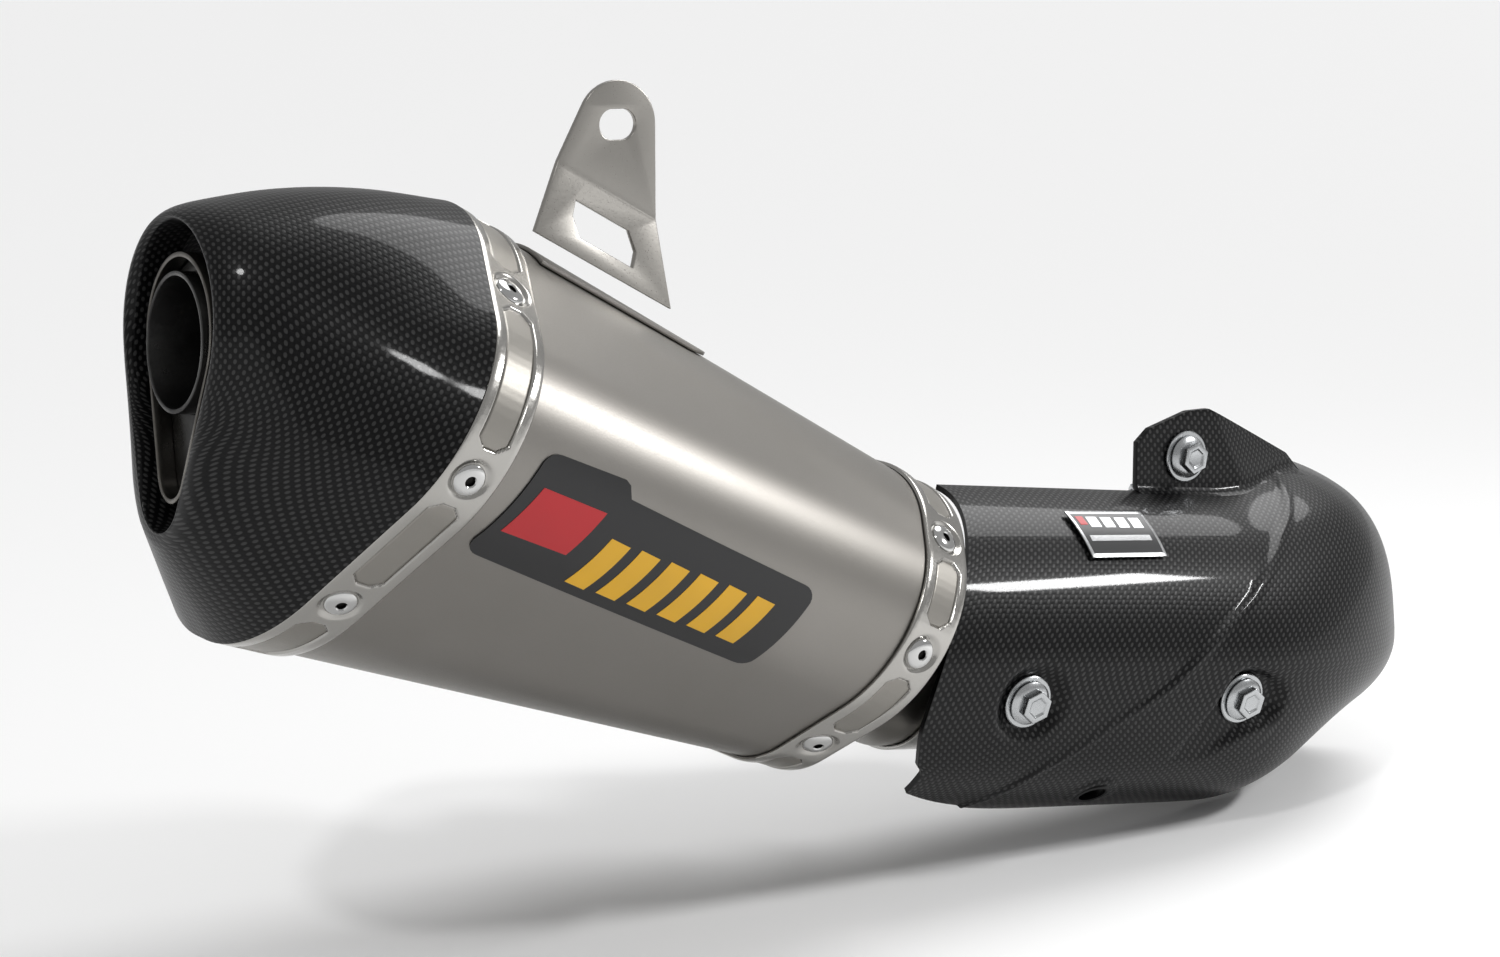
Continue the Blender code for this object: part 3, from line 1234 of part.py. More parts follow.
def make_shield_fasteners():
    side = Vector((0.2, 0.3, 1.0))
    for number, seat, outward, thickness in bolt_places():
        tag = str(number)
        bore = BOLT_R + HOLE_CLEAR
        washer = [(bore, WASHER_THICK), (WASHER_R, WASHER_THICK), (WASHER_R, 0.0), (bore, 0.0)]
        lift = matrix_along(seat + outward * FIT_GAP, outward, side)
        lathe("shield_washer_" + tag, washer, lift, "zinc_plate", 20)
        spacer_top = -thickness - FIT_GAP
        if number == 3:
            depth = UPPER_SPACER_H
        else:
            depth = SHIELD_R - DIMPLE_DEPTH - thickness - FIT_GAP - PIPE_R - LOWER_BOSS_H
        spacer = [(bore, 0.0), (SPACER_R, 0.0), (SPACER_R, -depth), (bore, -depth)]
        under = matrix_along(seat + outward * spacer_top, outward, side)
        lathe("shield_spacer_" + tag, spacer, under, "black_rubber", 18)
        boss_top = seat + outward * (spacer_top - depth - FIT_GAP)
        make_boss(tag, number, boss_top, outward, bore)
        bolt_seat = FIT_GAP * 2.0 + WASHER_THICK
        head = [(0.0, bolt_seat + BOLT_FLANGE_H + BOLT_CROWN_H),
                (BOLT_R, bolt_seat + BOLT_FLANGE_H + BOLT_CROWN_H),
                (BOLT_FLANGE_R * 0.9, bolt_seat + BOLT_FLANGE_H),
                (BOLT_FLANGE_R, bolt_seat + BOLT_FLANGE_H * 0.5),
                (BOLT_FLANGE_R, bolt_seat),
                (BOLT_R, bolt_seat),
                (BOLT_R, spacer_top - depth - FIT_GAP - BOLT_IN_BOSS),
                (0.0, spacer_top - depth - FIT_GAP - BOLT_IN_BOSS)]
        bolt = lathe("shield_bolt_" + tag, head, matrix_along(seat, outward, side), "zinc_plate", 20)
        hexagon = [(BOLT_HEX_R * math.cos(math.pi * k / 3.0), BOLT_HEX_R * math.sin(math.pi * k / 3.0))
                   for k in range(6)]
        top = bolt_seat + BOLT_FLANGE_H * 0.5
        place = matrix_along(seat + outward * (top + BOLT_HEX_H / 2.0), outward, side)
        cap = prism("bolt_hex_" + tag, hexagon, BOLT_HEX_H, place, None, cutter=True)
        combine(bolt, [cap], "UNION")


def make_boss(tag, number, top, outward, bore):
    """Threaded boss standing on the link pipe; the upper one is a tall tab."""
    side = Vector((0.2, 0.3, 1.0))
    if number != 3:
        centre = pipe_frame(LOWER_BOLT_1_ALONG if number == 1 else LOWER_BOLT_2_ALONG)[0]
        length = (top - centre).dot(outward) - PIPE_R - FIT_GAP
        profile = [(bore, 0.0), (BOSS_R, 0.0), (BOSS_R, -length), (bore, -length)]
        boss = lathe("shield_boss_" + tag, profile, matrix_along(top, outward, side), "steel_dark", 18)
        saddle = link_cutter(number)
        combine(boss, [saddle], "DIFFERENCE")
        return
    half = BOSS_TAB_HALF
    pipe_top = pipe_foot_height(EAR_BOLT_X, half)
    outline = [(EAR_BOLT_X - half, pipe_top)]
    outline.append((EAR_BOLT_X + half, pipe_top))
    for step in range(13):
        turn = math.pi * step / 12
        outline.append((EAR_BOLT_X + half * math.cos(turn), EAR_BOLT_Z + half * math.sin(turn)))
    thick = BOLT_IN_BOSS + TAB_PAST_BOLT
    centre_y = top.y - MUFFLER_MID_Y + thick / 2.0
    placed = Matrix.Translation(datum(0.0, centre_y, 0.0)) @ Matrix.Rotation(math.radians(90.0), 4, "X")
    hole = circle_loop(bore, EAR_BOLT_X, EAR_BOLT_Z, 16)
    tab = prism("shield_boss_3", outline, thick, placed, "steel_dark", [hole])
    tab.data.transform(tab.matrix_world)
    tab.matrix_world = Matrix.Identity(4)
    combine(tab, [link_cutter(number)], "DIFFERENCE")


def pipe_foot_height(x, half):
    pitch = math.radians(INLET_PITCH_DEG)
    along = (x - INLET_X) / math.cos(pitch)
    return INLET_Z - along * math.sin(pitch) + PIPE_R * 0.8


def link_cutter(number):
    """Solid rod a little larger than the link pipe, used to saddle the bosses onto it."""
    angles = full_turn(PIPE_POINTS)
    reach = PIPE_R + FIT_GAP
    bend_length = LINK_BEND_R * math.radians(LINK_BEND_DEG)
    stations = [0.0, LINK_STRAIGHT]
    stations += [LINK_STRAIGHT + bend_length * (step + 1) / BEND_ROWS for step in range(BEND_ROWS)]
    rows = [[pipe_point(along, reach, angle) for angle in angles] for along in stations]
    points = [point for row in rows for point in row]
    count = len(angles)
    faces = ring_faces(len(rows), count, close_rows=False)
    faces.append(tuple(range(count)))
    faces.append(tuple(range(len(points) - count, len(points))))
    mesh = closed_mesh("link_cutter_" + str(number), points, faces)
    return add_object("link_cutter_" + str(number), mesh, None, cutter=True)


def put_origins_on_joint():
    """Everything that swivels with the link pipe turns about the middle of the silencer's stub."""
    centre = pipe_frame(0.0)[0]
    fixed_names = ("link_pipe", "inlet_collar", "heat_shield", "shield_badge")
    swinging = [PARTS.objects[name] for name in fixed_names]
    for number in ("1", "2", "3"):
        for kind in ("bolt_", "washer_", "spacer_", "boss_"):
            swinging.append(PARTS.objects["shield_" + kind + number])
    for made in swinging:
        set_origin(made, centre)


# ---- build ---------------------------------------------------------------------------------------
clear_scene()
PARTS = new_collection(OBJECT_NAME)
CUTTERS = new_collection("cutters")

make_sleeve()
make_band("rear_band", 0.0, "rear")
make_band("front_band", BODY_LENGTH, "front")
make_end_cap()
make_rivets()
make_bulkhead()
make_outlet_ring()
make_damper()
make_core()
make_packing()
make_front_cap()
make_bracket()
make_foot()
make_sleeve_badge()
make_link_pipe()
make_collar()
make_shield()
make_shield_plate()
make_shield_fasteners()
make_clamp("slip_clamp", STUB_LENGTH - SLIP_CLAMP_FROM_END - CLAMP_WIDTH / 2.0,
           PIPE_R + SLIP_GAP + STUB_THICK + FIT_GAP, SLIP_CLAMP_TURN_DEG)
make_clamp("inlet_clamp", pipe_end() + COLLAR_LENGTH * 0.6 - INLET_CLAMP_FROM_END - CLAMP_WIDTH / 2.0,
           PIPE_R + FIT_GAP * 2.0 + COLLAR_THICK, INLET_CLAMP_TURN_DEG)
put_origins_on_joint()
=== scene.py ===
import math

import bpy
import numpy as np
from mathutils import Matrix, Vector


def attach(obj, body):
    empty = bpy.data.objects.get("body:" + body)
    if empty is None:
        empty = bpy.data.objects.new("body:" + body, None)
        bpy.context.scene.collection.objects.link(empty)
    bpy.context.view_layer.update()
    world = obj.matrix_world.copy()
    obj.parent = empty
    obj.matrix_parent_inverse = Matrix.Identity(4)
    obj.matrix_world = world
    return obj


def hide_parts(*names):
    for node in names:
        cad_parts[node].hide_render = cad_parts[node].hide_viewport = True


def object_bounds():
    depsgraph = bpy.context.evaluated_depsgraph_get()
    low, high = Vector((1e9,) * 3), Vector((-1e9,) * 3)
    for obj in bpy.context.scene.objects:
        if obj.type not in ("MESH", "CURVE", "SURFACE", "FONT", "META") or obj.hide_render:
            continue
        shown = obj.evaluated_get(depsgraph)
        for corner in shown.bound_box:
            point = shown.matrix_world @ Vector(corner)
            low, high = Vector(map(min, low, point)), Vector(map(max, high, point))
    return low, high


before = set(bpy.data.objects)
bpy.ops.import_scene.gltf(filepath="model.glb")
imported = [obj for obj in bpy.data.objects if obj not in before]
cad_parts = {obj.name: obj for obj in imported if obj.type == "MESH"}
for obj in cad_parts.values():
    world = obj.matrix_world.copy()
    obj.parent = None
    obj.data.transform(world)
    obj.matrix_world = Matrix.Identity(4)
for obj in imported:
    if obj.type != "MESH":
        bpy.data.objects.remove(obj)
cad_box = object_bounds()


# ---- Outer sleeve ------------------------------------------------------------------------------
# The silencer's skin is one sheet of commercially pure titanium, rolled and seam-welded into a tapered
# rounded hexagon and bead-blasted to a warm satin grey. The two bands and their rivets hold its ends.
PITCH = math.radians(32.0)
REAR_DATUM = np.array((-0.0745, 0.0145, -0.0440))
SLEEVE_LENGTH = 0.168
BAND_WIDTH = 0.017
BAND_THICK = 0.0012
SHEET_GAP = 0.0003
SLEEVE_SKIN = BAND_THICK + SHEET_GAP
SLEEVE_THICK = 0.0010
REAR_CORNERS = ((0.024, 0.043, 0.056), (0.099, -0.011, 0.039), (0.029, -0.095, 0.055))
FRONT_CORNERS = ((0.034, 0.047, 0.046), (0.082, -0.003, 0.039), (0.025, -0.055, 0.031))
REAR_HEART = -0.026
FRONT_HEART = -0.004


def linear(colour):
    """Linear colour with alpha from an sRGB hex value."""
    channels = [int(colour[place:place + 2], 16) / 255.0 for place in (1, 3, 5)]
    return tuple(c / 12.92 if c <= 0.04045 else ((c + 0.055) / 1.055) ** 2.4 for c in channels) + (1.0,)


def add_node(tree, kind, settings, inputs):
    """A node with its settings, and its inputs as plain values or as the sockets that feed them."""
    node = tree.nodes.new(kind)
    for name, value in settings.items():
        setattr(node, name, value)
    for socket, value in inputs.items():
        if isinstance(value, bpy.types.NodeSocket):
            tree.links.new(value, node.inputs[socket])
        else:
            node.inputs[socket].default_value = value
    return node


def start_material(name, colour, metallic, roughness):
    """A material with its Principled shader set to plain starting values."""
    made = bpy.data.materials.new(name)
    made.use_nodes = True
    shader = made.node_tree.nodes["Principled BSDF"]
    shader.inputs["Base Color"].default_value = linear(colour)
    shader.inputs["Metallic"].default_value = metallic
    shader.inputs["Roughness"].default_value = roughness
    return made, made.node_tree, shader


def grained_metal(name, pale, deep, roughness, spread, grain, depth, stretch=(1.0, 1.0, 1.0)):
    """Metal whose colour and roughness drift a little, with a fine grain in its surface."""
    made, tree, shader = start_material(name, pale, 1.0, roughness)
    place = add_node(tree, "ShaderNodeTexCoord", {}, {})
    stretched = add_node(tree, "ShaderNodeMapping", {}, {"Vector": place.outputs["Object"],
                                                         "Scale": stretch})
    drift = add_node(tree, "ShaderNodeTexNoise", {}, {"Vector": place.outputs["Object"], "Scale": 22.0,
                                                      "Detail": 3.0})
    fine = add_node(tree, "ShaderNodeTexNoise", {}, {"Vector": stretched.outputs["Vector"],
                                                     "Scale": 1.0 / grain, "Detail": 2.0})
    mixed = add_node(tree, "ShaderNodeMix", {"data_type": "RGBA"}, {"Factor": drift.outputs["Fac"],
                                                                   "A": linear(deep), "B": linear(pale)})
    rough = add_node(tree, "ShaderNodeMapRange", {}, {"Value": fine.outputs["Fac"], "From Min": 0.3,
                                                      "From Max": 0.7, "To Min": roughness - spread,
                                                      "To Max": roughness + spread})
    bump = add_node(tree, "ShaderNodeBump", {}, {"Height": fine.outputs["Fac"], "Strength": 0.35,
                                                 "Distance": depth})
    tree.links.new(mixed.outputs["Result"], shader.inputs["Base Color"])
    tree.links.new(rough.outputs["Result"], shader.inputs["Roughness"])
    tree.links.new(bump.outputs["Normal"], shader.inputs["Normal"])
    return made


def section_outline(u, inset):
    """Outline of the hexagonal section at a distance along the sleeve, as (across, up) points."""
    share = u / SLEEVE_LENGTH
    mixed = [tuple(r + (f - r) * share for r, f in zip(rear, front))
             for rear, front in zip(REAR_CORNERS, FRONT_CORNERS)]
    top, side, bottom = mixed
    corners = [top, side, bottom]
    corners += [(-half, height, radius) for half, height, radius in (bottom, side, top)]
    outline = []
    for index, (x, y, radius) in enumerate(corners):
        corner = np.array((x, y))
        before = np.array(corners[index - 1][:2]) - corner
        after = np.array(corners[(index + 1) % 6][:2]) - corner
        before = before / np.linalg.norm(before)
        after = after / np.linalg.norm(after)
        half = math.acos(float(before @ after)) / 2.0
        heart = corner + (before + after) / np.linalg.norm(before + after) * radius / math.sin(half)
        run = radius / math.tan(half)
        first = corner + before * run - heart
        last = corner + after * run - heart
        start = math.atan2(first[1], first[0])
        sweep = (math.atan2(last[1], last[0]) - start + math.pi) % (2.0 * math.pi) - math.pi
        turn = start + sweep * np.linspace(0.0, 1.0, 25)
        outline.append(heart + np.stack((np.cos(turn), np.sin(turn)), axis=1) * (radius - inset))
    outline = np.concatenate(outline)
    closed = np.concatenate((outline, outline[:1]))
    length = np.concatenate(([0.0], np.cumsum(np.linalg.norm(np.diff(closed, axis=0), axis=1))))
    even = np.linspace(0.0, length[-1], 721)[:-1]
    return np.stack([np.interp(even, length, closed[:, axis]) for axis in (0, 1)], axis=1)


def polar(outline, heart, angles):
    """Points of an (across, up) outline at angles in degrees from up towards outboard."""
    turn = np.degrees(np.arctan2(heart[0] - outline[:, 0], outline[:, 1] - heart[1]))
    reach = np.hypot(outline[:, 0] - heart[0], outline[:, 1] - heart[1])
    found = np.interp(angles, turn, reach, period=360.0)
    turned_to = np.radians(angles)
    return np.stack((heart[0] - found * np.sin(turned_to), heart[1] + found * np.cos(turned_to)), axis=1)


def section_ring(u, inset, angles):
    """World points of the section, at angles in degrees from up towards outboard."""
    heart = REAR_HEART + (FRONT_HEART - REAR_HEART) * u / SLEEVE_LENGTH
    flat = polar(section_outline(u, inset), (0.0, heart), np.asarray(angles))
    x = u * math.cos(PITCH) + flat[:, 1] * math.sin(PITCH)
    z = -u * math.sin(PITCH) + flat[:, 1] * math.cos(PITCH)
    return REAR_DATUM + np.stack((x, flat[:, 0], z), axis=1)


def section_frame(u, angle, inset=0.0):
    """Point, outward direction and forward direction on the skin."""
    here, beside = section_ring(u, inset, np.array((angle, angle + 0.5)))
    ahead = section_ring(u + 0.002, inset, np.array((angle,)))[0]
    forward = (ahead - here) / np.linalg.norm(ahead - here)
    outward = np.cross(forward, beside - here)
    outward = outward / np.linalg.norm(outward)
    hearts = section_ring(u, inset, np.array((0.0, 90.0, 180.0, 270.0))).mean(axis=0)
    if (here - hearts) @ outward < 0.0:
        outward = -outward
    return Vector(here), Vector(outward), Vector(forward)


def select_only(piece):
    bpy.ops.object.select_all(action="DESELECT")
    piece.select_set(True)
    bpy.context.view_layer.objects.active = piece


def lay_sheet(name, rows, closed, inside=None, cloth_from=None):
    """Mesh through rows of points, facing away from the inside, with a UV map in metres."""
    rows = np.array(rows)
    count, width = rows.shape[:2]
    if closed:
        ring = np.concatenate((rows, rows[:, :1]), axis=1)
    else:
        ring = rows
    around = np.zeros(ring.shape[:2])
    around[:, 1:] = np.cumsum(np.linalg.norm(np.diff(ring, axis=1), axis=2), axis=1)
    if cloth_from is not None:
        around -= around[:, cloth_from:cloth_from + 1]
    along = np.zeros(ring.shape[:2])
    along[1:, :] = np.cumsum(np.linalg.norm(np.diff(ring, axis=0), axis=2), axis=0)
    faces = []
    cloth = []
    for row in range(count - 1):
        for place in range(ring.shape[1] - 1):
            corners = [(row, place), (row, place + 1), (row + 1, place + 1), (row + 1, place)]
            faces.append([r * width + c % width for r, c in corners])
            cloth.append([(along[r, c], around[r, c]) for r, c in corners])
    heart = rows[count // 2].mean(axis=0) if inside is None else np.array(inside)
    quad = [rows.reshape(-1, 3)[corner] for corner in faces[(count // 2) * (ring.shape[1] - 1)]]
    if np.cross(quad[1] - quad[0], quad[2] - quad[0]) @ (quad[0] - heart) < 0.0:
        faces = [face[::-1] for face in faces]
        cloth = [face[::-1] for face in cloth]
    mesh = bpy.data.meshes.new(name)
    mesh.from_pydata(rows.reshape(-1, 3).tolist(), [], faces)
    mesh.uv_layers.new(name="cloth").data.foreach_set("uv", np.array(cloth).ravel())
    piece = bpy.data.objects.new(name, mesh)
    bpy.context.scene.collection.objects.link(piece)
    return piece


def thicken(piece, thickness, soften=0.0):
    """Give a sheet its real thickness inwards, round its rims and shade it smooth."""
    select_only(piece)
    solid = piece.modifiers.new("thickness", "SOLIDIFY")
    solid.thickness = thickness
    solid.offset = -1.0
    solid.use_even_offset = True
    bpy.ops.object.modifier_apply(modifier="thickness")
    if soften > 0.0:
        rim = piece.modifiers.new("rim", "BEVEL")
        rim.width = soften
        rim.segments = 2
        rim.limit_method = "ANGLE"
        rim.angle_limit = math.radians(50.0)
        bpy.ops.object.modifier_apply(modifier="rim")
    bpy.ops.object.shade_smooth_by_angle(angle=math.radians(32.0))
    return piece


def mount_piece(piece, body, slot, material, *nodes):
    """Give a finished piece its material, its body and the nodes it stands for."""
    if material is not None:
        piece.data.materials.clear()
        piece.data.materials.append(material)
    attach(piece, body)
    if nodes:
        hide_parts(*nodes)


# Bead-blasted titanium: warm grey, an even satin that blurs what it mirrors.
satin_titanium = grained_metal("bead_blasted_titanium", "#8E8B87", "#85827D", 0.40, 0.04,
                               0.00035, 0.00004)
ROUND = np.arange(288) * 360.0 / 288
stations = np.linspace(0.0010, SLEEVE_LENGTH + BAND_WIDTH - 0.0010, 13)
sleeve = lay_sheet("sleeve_sheet", [section_ring(u, SLEEVE_SKIN, ROUND) for u in stations], True)
thicken(sleeve, SLEEVE_THICK)
mount_piece(sleeve, "muffler", "titanium_satin", satin_titanium, "outer_sleeve")


# ---- Clamping bands ----------------------------------------------------------------------------
# Each end of the sleeve is gripped by a pressed titanium band. Long hexagonal panels are sunk between
# the rivets, each rivet sits in a dished seat, and the band's two edges are rolled over.
REAR_RIVETS = (0.0, 46.0, 93.0, 135.0, 180.0, 225.0, 267.0, 314.0)
FRONT_RIVETS = (0.0, 56.0, 92.0, 135.0, 180.0, 225.0, 268.0, 304.0)
PANEL_SINK = 0.0005
PANEL_EDGE = 0.0005
PANEL_GROOVE = 0.00035
GROOVE_HALF = 0.0004
PANEL_HALF_WIDTH = 0.0052
PANEL_CLEAR = 0.0118
PANEL_POINT = 0.0048
SEAT_R = 0.0067
SEAT_DEPTH = 0.0013
EDGE_ROLL = 0.0009


def ease(share):
    held = np.clip(share, 0.0, 1.0)
    return held * held * (3.0 - 2.0 * held)


def outward_of(ring):
    """Directions square to a closed ring of points and to the sleeve's axis."""
    axis = np.array((math.cos(PITCH), 0.0, -math.sin(PITCH)))
    run = np.roll(ring, -1, axis=0) - np.roll(ring, 1, axis=0)
    outward = np.cross(run, axis)
    outward /= np.linalg.norm(outward, axis=1)[:, None]
    if (outward[0] @ (ring[0] - ring.mean(axis=0))) < 0.0:
        outward = -outward
    return outward


def press_band(name, start, rivets, material, panel_material, *nodes):
    angles = np.arange(1296) * 360.0 / 1296
    middle = section_ring(start + BAND_WIDTH / 2.0, 0.0, angles)
    steps = np.linalg.norm(np.roll(middle, -1, axis=0) - middle, axis=1)
    length = np.concatenate(([0.0], np.cumsum(steps)))
    whole = length[-1]
    around = length[:-1]
    seats = [np.interp(angle, np.append(angles, 360.0), length) for angle in rivets]
    across = np.concatenate(([0.0, 0.0003, 0.0008], np.linspace(0.0016, BAND_WIDTH - 0.0016, 51),
                             [BAND_WIDTH - 0.0008, BAND_WIDTH - 0.0003, BAND_WIDTH]))
    rows = []
    on_panel = []
    for place in across:
        ring = section_ring(start + place, 0.0, angles)
        offset = place - BAND_WIDTH / 2.0
        inner = np.full(len(angles), -1.0)
        for index, seat in enumerate(seats):
            following = seats[(index + 1) % len(seats)]
            span = (following - seat) % whole
            run = (around - seat) % whole
            inside = np.minimum(run - PANEL_CLEAR, span - PANEL_CLEAR - run)
            wall = np.minimum(PANEL_HALF_WIDTH - abs(offset),
                              inside + (PANEL_HALF_WIDTH - abs(offset)) * PANEL_POINT / PANEL_HALF_WIDTH)
            wall = np.where(run <= span, np.minimum(wall, inside + PANEL_POINT * 0.62), -1.0)
            inner = np.maximum(inner, wall)
        height = -PANEL_SINK * ease(inner / PANEL_EDGE)
        height = height - PANEL_GROOVE * ease(1.0 - np.abs(inner - PANEL_EDGE) / GROOVE_HALF)
        for seat in seats:
            run = np.abs((around - seat + whole / 2.0) % whole - whole / 2.0)
            distance = np.hypot(run, offset)
            height = height - SEAT_DEPTH * ease((SEAT_R - distance) / (SEAT_R * 0.34))
        edge = min(place, BAND_WIDTH - place)
        height = height - EDGE_ROLL * (1.0 - math.sqrt(1.0 - (1.0 - min(edge / 0.0016, 1.0)) ** 2)) * 0.6
        rows.append(ring + outward_of(ring) * height[:, None])
        on_panel.append(inner > PANEL_EDGE)
    rows.append(section_ring(start + BAND_WIDTH, BAND_THICK, angles))
    rows.append(section_ring(start, BAND_THICK, angles))
    rows.append(rows[0])
    band = lay_sheet(name, rows, True)
    band.data.materials.append(material)
    band.data.materials.append(panel_material)
    for row in range(len(across) - 1):
        for place in range(len(angles)):
            if on_panel[row][place] and on_panel[row + 1][place]:
                band.data.polygons[row * len(angles) + place].material_index = 1
    select_only(band)
    bpy.ops.object.mode_set(mode="EDIT")
    bpy.ops.mesh.select_all(action="SELECT")
    bpy.ops.mesh.remove_doubles(threshold=0.000002)
    bpy.ops.mesh.normals_make_consistent(inside=False)
    bpy.ops.object.mode_set(mode="OBJECT")
    bpy.ops.object.shade_smooth_by_angle(angle=math.radians(50.0))
    mount_piece(band, "muffler", "titanium_polished", None, *nodes)


# Fine-brushed titanium, brighter than the sleeve; the sunk panels stay satin.
brushed_titanium = grained_metal("brushed_titanium", "#B0AEAA", "#A6A4A0", 0.22, 0.05, 0.0004, 0.00002)
panel_titanium = grained_metal("panel_titanium", "#96938E", "#8D8A84", 0.42, 0.04, 0.00035, 0.00004)
press_band("rear_clamping_band", 0.0, REAR_RIVETS, brushed_titanium, panel_titanium, "rear_band")
press_band("front_clamping_band", SLEEVE_LENGTH, FRONT_RIVETS, brushed_titanium, panel_titanium,
           "front_band")


# ---- Rivets ------------------------------------------------------------------------------------
# Blind rivets of stainless steel pull band, sleeve and cap together. Each is a polished dome with the
# open bore that its mandrel broke out of.
RIVET_R = 0.00475
RIVET_HEIGHT = 0.0019
RIVET_BORE = 0.0014


def turned(name, profile, steps):
    """Turned piece about its own Z axis, spun from a profile of (radius, height) points."""
    mesh = bpy.data.meshes.new(name)
    chain = [(place, place + 1) for place in range(len(profile) - 1)]
    if profile[0][0] > 0.0 and profile[-1][0] > 0.0:
        chain.append((len(profile) - 1, 0))
    mesh.from_pydata([(radius, 0.0, height) for radius, height in profile], chain, [])
    piece = bpy.data.objects.new(name, mesh)
    bpy.context.scene.collection.objects.link(piece)
    select_only(piece)
    bpy.ops.object.mode_set(mode="EDIT")
    bpy.ops.mesh.select_all(action="SELECT")
    bpy.ops.mesh.spin(steps=steps, angle=2.0 * math.pi, center=(0.0, 0.0, 0.0), axis=(0.0, 0.0, 1.0))
    bpy.ops.mesh.select_all(action="SELECT")
    bpy.ops.mesh.remove_doubles(threshold=0.000002)
    bpy.ops.mesh.normals_make_consistent(inside=False)
    bpy.ops.object.mode_set(mode="OBJECT")
    bpy.ops.object.shade_smooth_by_angle(angle=math.radians(35.0))
    return piece


def facing(origin, outward, side=Vector((1.0, 0.1, 0.3))):
    """Matrix that puts a piece's Z axis along the outward direction."""
    z_axis = Vector(outward).normalized()
    x_axis = (side - z_axis * side.dot(z_axis)).normalized()
    turned_axes = Matrix((x_axis, z_axis.cross(x_axis), z_axis)).transposed().to_4x4()
    return Matrix.Translation(origin) @ turned_axes


def copy_to(pattern, name, place):
    """A copy with its own mesh, moved to its place."""
    mesh = pattern.data.copy()
    mesh.transform(place)
    piece = bpy.data.objects.new(name, mesh)
    bpy.context.scene.collection.objects.link(piece)
    return piece


# Polished stainless steel: clean, hard reflections with faint turning marks.
polished_steel = grained_metal("polished_stainless", "#C9C9C8", "#BFBFBE", 0.12, 0.03, 0.0003, 0.00001)
# Painted shade: a dark steel colour inside the shallow bore stands in for the shade deep in the open
# hole.
bore_shade_steel = grained_metal("painted_bore_shade", "#2B2A29", "#1D1C1B", 0.5, 0.05, 0.0002, 0.00005)
dome = [(RIVET_R * math.cos(turn), RIVET_HEIGHT * math.sin(turn) ** 0.8)
        for turn in np.linspace(0.0, 1.05, 9)]
rivet = turned("rivet_pattern", [(0.0, RIVET_HEIGHT * 0.35), (RIVET_BORE, RIVET_HEIGHT * 0.30),
                                 (RIVET_BORE, RIVET_HEIGHT * 0.72),
                                 (RIVET_BORE + 0.0003, RIVET_HEIGHT * 0.9)] + dome[::-1]
               + [(RIVET_R, -0.0004), (0.0024, -0.0004), (0.0024, -0.0070), (0.0, -0.0070)], 40)
rivet.data.materials.append(polished_steel)
rivet.data.materials.append(bore_shade_steel)
# The faces inside the bore take the painted bore shade.
for face in rivet.data.polygons:
    middle = Vector(face.center)
    if middle.z > 0.0 and math.hypot(middle.x, middle.y) < RIVET_BORE + 0.00005:
        face.material_index = 1
for end, first, rivets in (("rear", BAND_WIDTH / 2.0, REAR_RIVETS),
                           ("front", SLEEVE_LENGTH + BAND_WIDTH / 2.0, FRONT_RIVETS)):
    for number, angle in enumerate(rivets, start=1):
        point, outward, forward = section_frame(first, angle, SEAT_DEPTH)
        name = end + "_rivet_" + str(number)
        fixed = copy_to(rivet, name + "_head", facing(point, outward))
        mount_piece(fixed, "muffler", "rivet_steel", None, name)
bpy.data.objects.remove(rivet)


# ---- End cap -----------------------------------------------------------------------------------
# The tail cone is moulded from two plies of plain-weave carbon and clear-coated. It tucks under the rear
# band, tapers to a rolled mouth and turns in to an egg-shaped recess around the outlet.
OUTLET_TILT = math.radians(5.2)
FACE_X = -0.0580
MOUTH_X = -0.0500
MOUTH_LEAN = 0.12
DUCT_X = -0.0550
BORE_Z = 0.0014
CAP_WALL = 0.0020
CAP_SETBACK = 0.0016
CAP_COLUMNS = 288


def egg(upper_r, upper_z, lower_r, lower_z, inset, angles, heart=None):
    """Egg of two circles joined by tangents, as (across, up) points."""
    lean = math.asin((upper_r - lower_r) / (upper_z - lower_z))
    first = math.pi + lean - (math.pi + 2.0 * lean) * np.linspace(0.0, 1.0, 200)
    last = -lean - (math.pi - 2.0 * lean) * np.linspace(0.0, 1.0, 200)
    upper = np.stack((np.cos(first), np.sin(first)), axis=1) * (upper_r - inset) + (0.0, upper_z)
    lower = np.stack((np.cos(last), np.sin(last)), axis=1) * (lower_r - inset) + (0.0, lower_z)
    outline = np.concatenate((upper, lower))
    closed = np.concatenate((outline, outline[:1]))
    length = np.concatenate(([0.0], np.cumsum(np.linalg.norm(np.diff(closed, axis=0), axis=1))))
    even = np.linspace(0.0, length[-1], 1201)[:-1]
    outline = np.stack([np.interp(even, length, closed[:, axis]) for axis in (0, 1)], axis=1)
    middle = (upper_z + lower_z) / 2.0 if heart is None else heart
    return polar(outline, (0.0, middle), np.asarray(angles))


OUT_FORWARD = np.array((math.cos(OUTLET_TILT), 0.0, -math.sin(OUTLET_TILT)))
OUT_UP = np.array((math.sin(OUTLET_TILT), 0.0, math.cos(OUTLET_TILT)))
OUT_PIVOT = REAR_DATUM + np.array((DUCT_X, 0.0, BORE_Z))


def at_outlet(depths, flat):
    """World points from depths along the outlet's axis and (across, up) points square to it."""
    depths = np.broadcast_to(depths, (len(flat),))
    return (OUT_PIVOT + np.outer(depths - DUCT_X, OUT_FORWARD) + np.outer(flat[:, 1] - BORE_Z, OUT_UP)
            + np.outer(flat[:, 0], (0.0, 1.0, 0.0)))


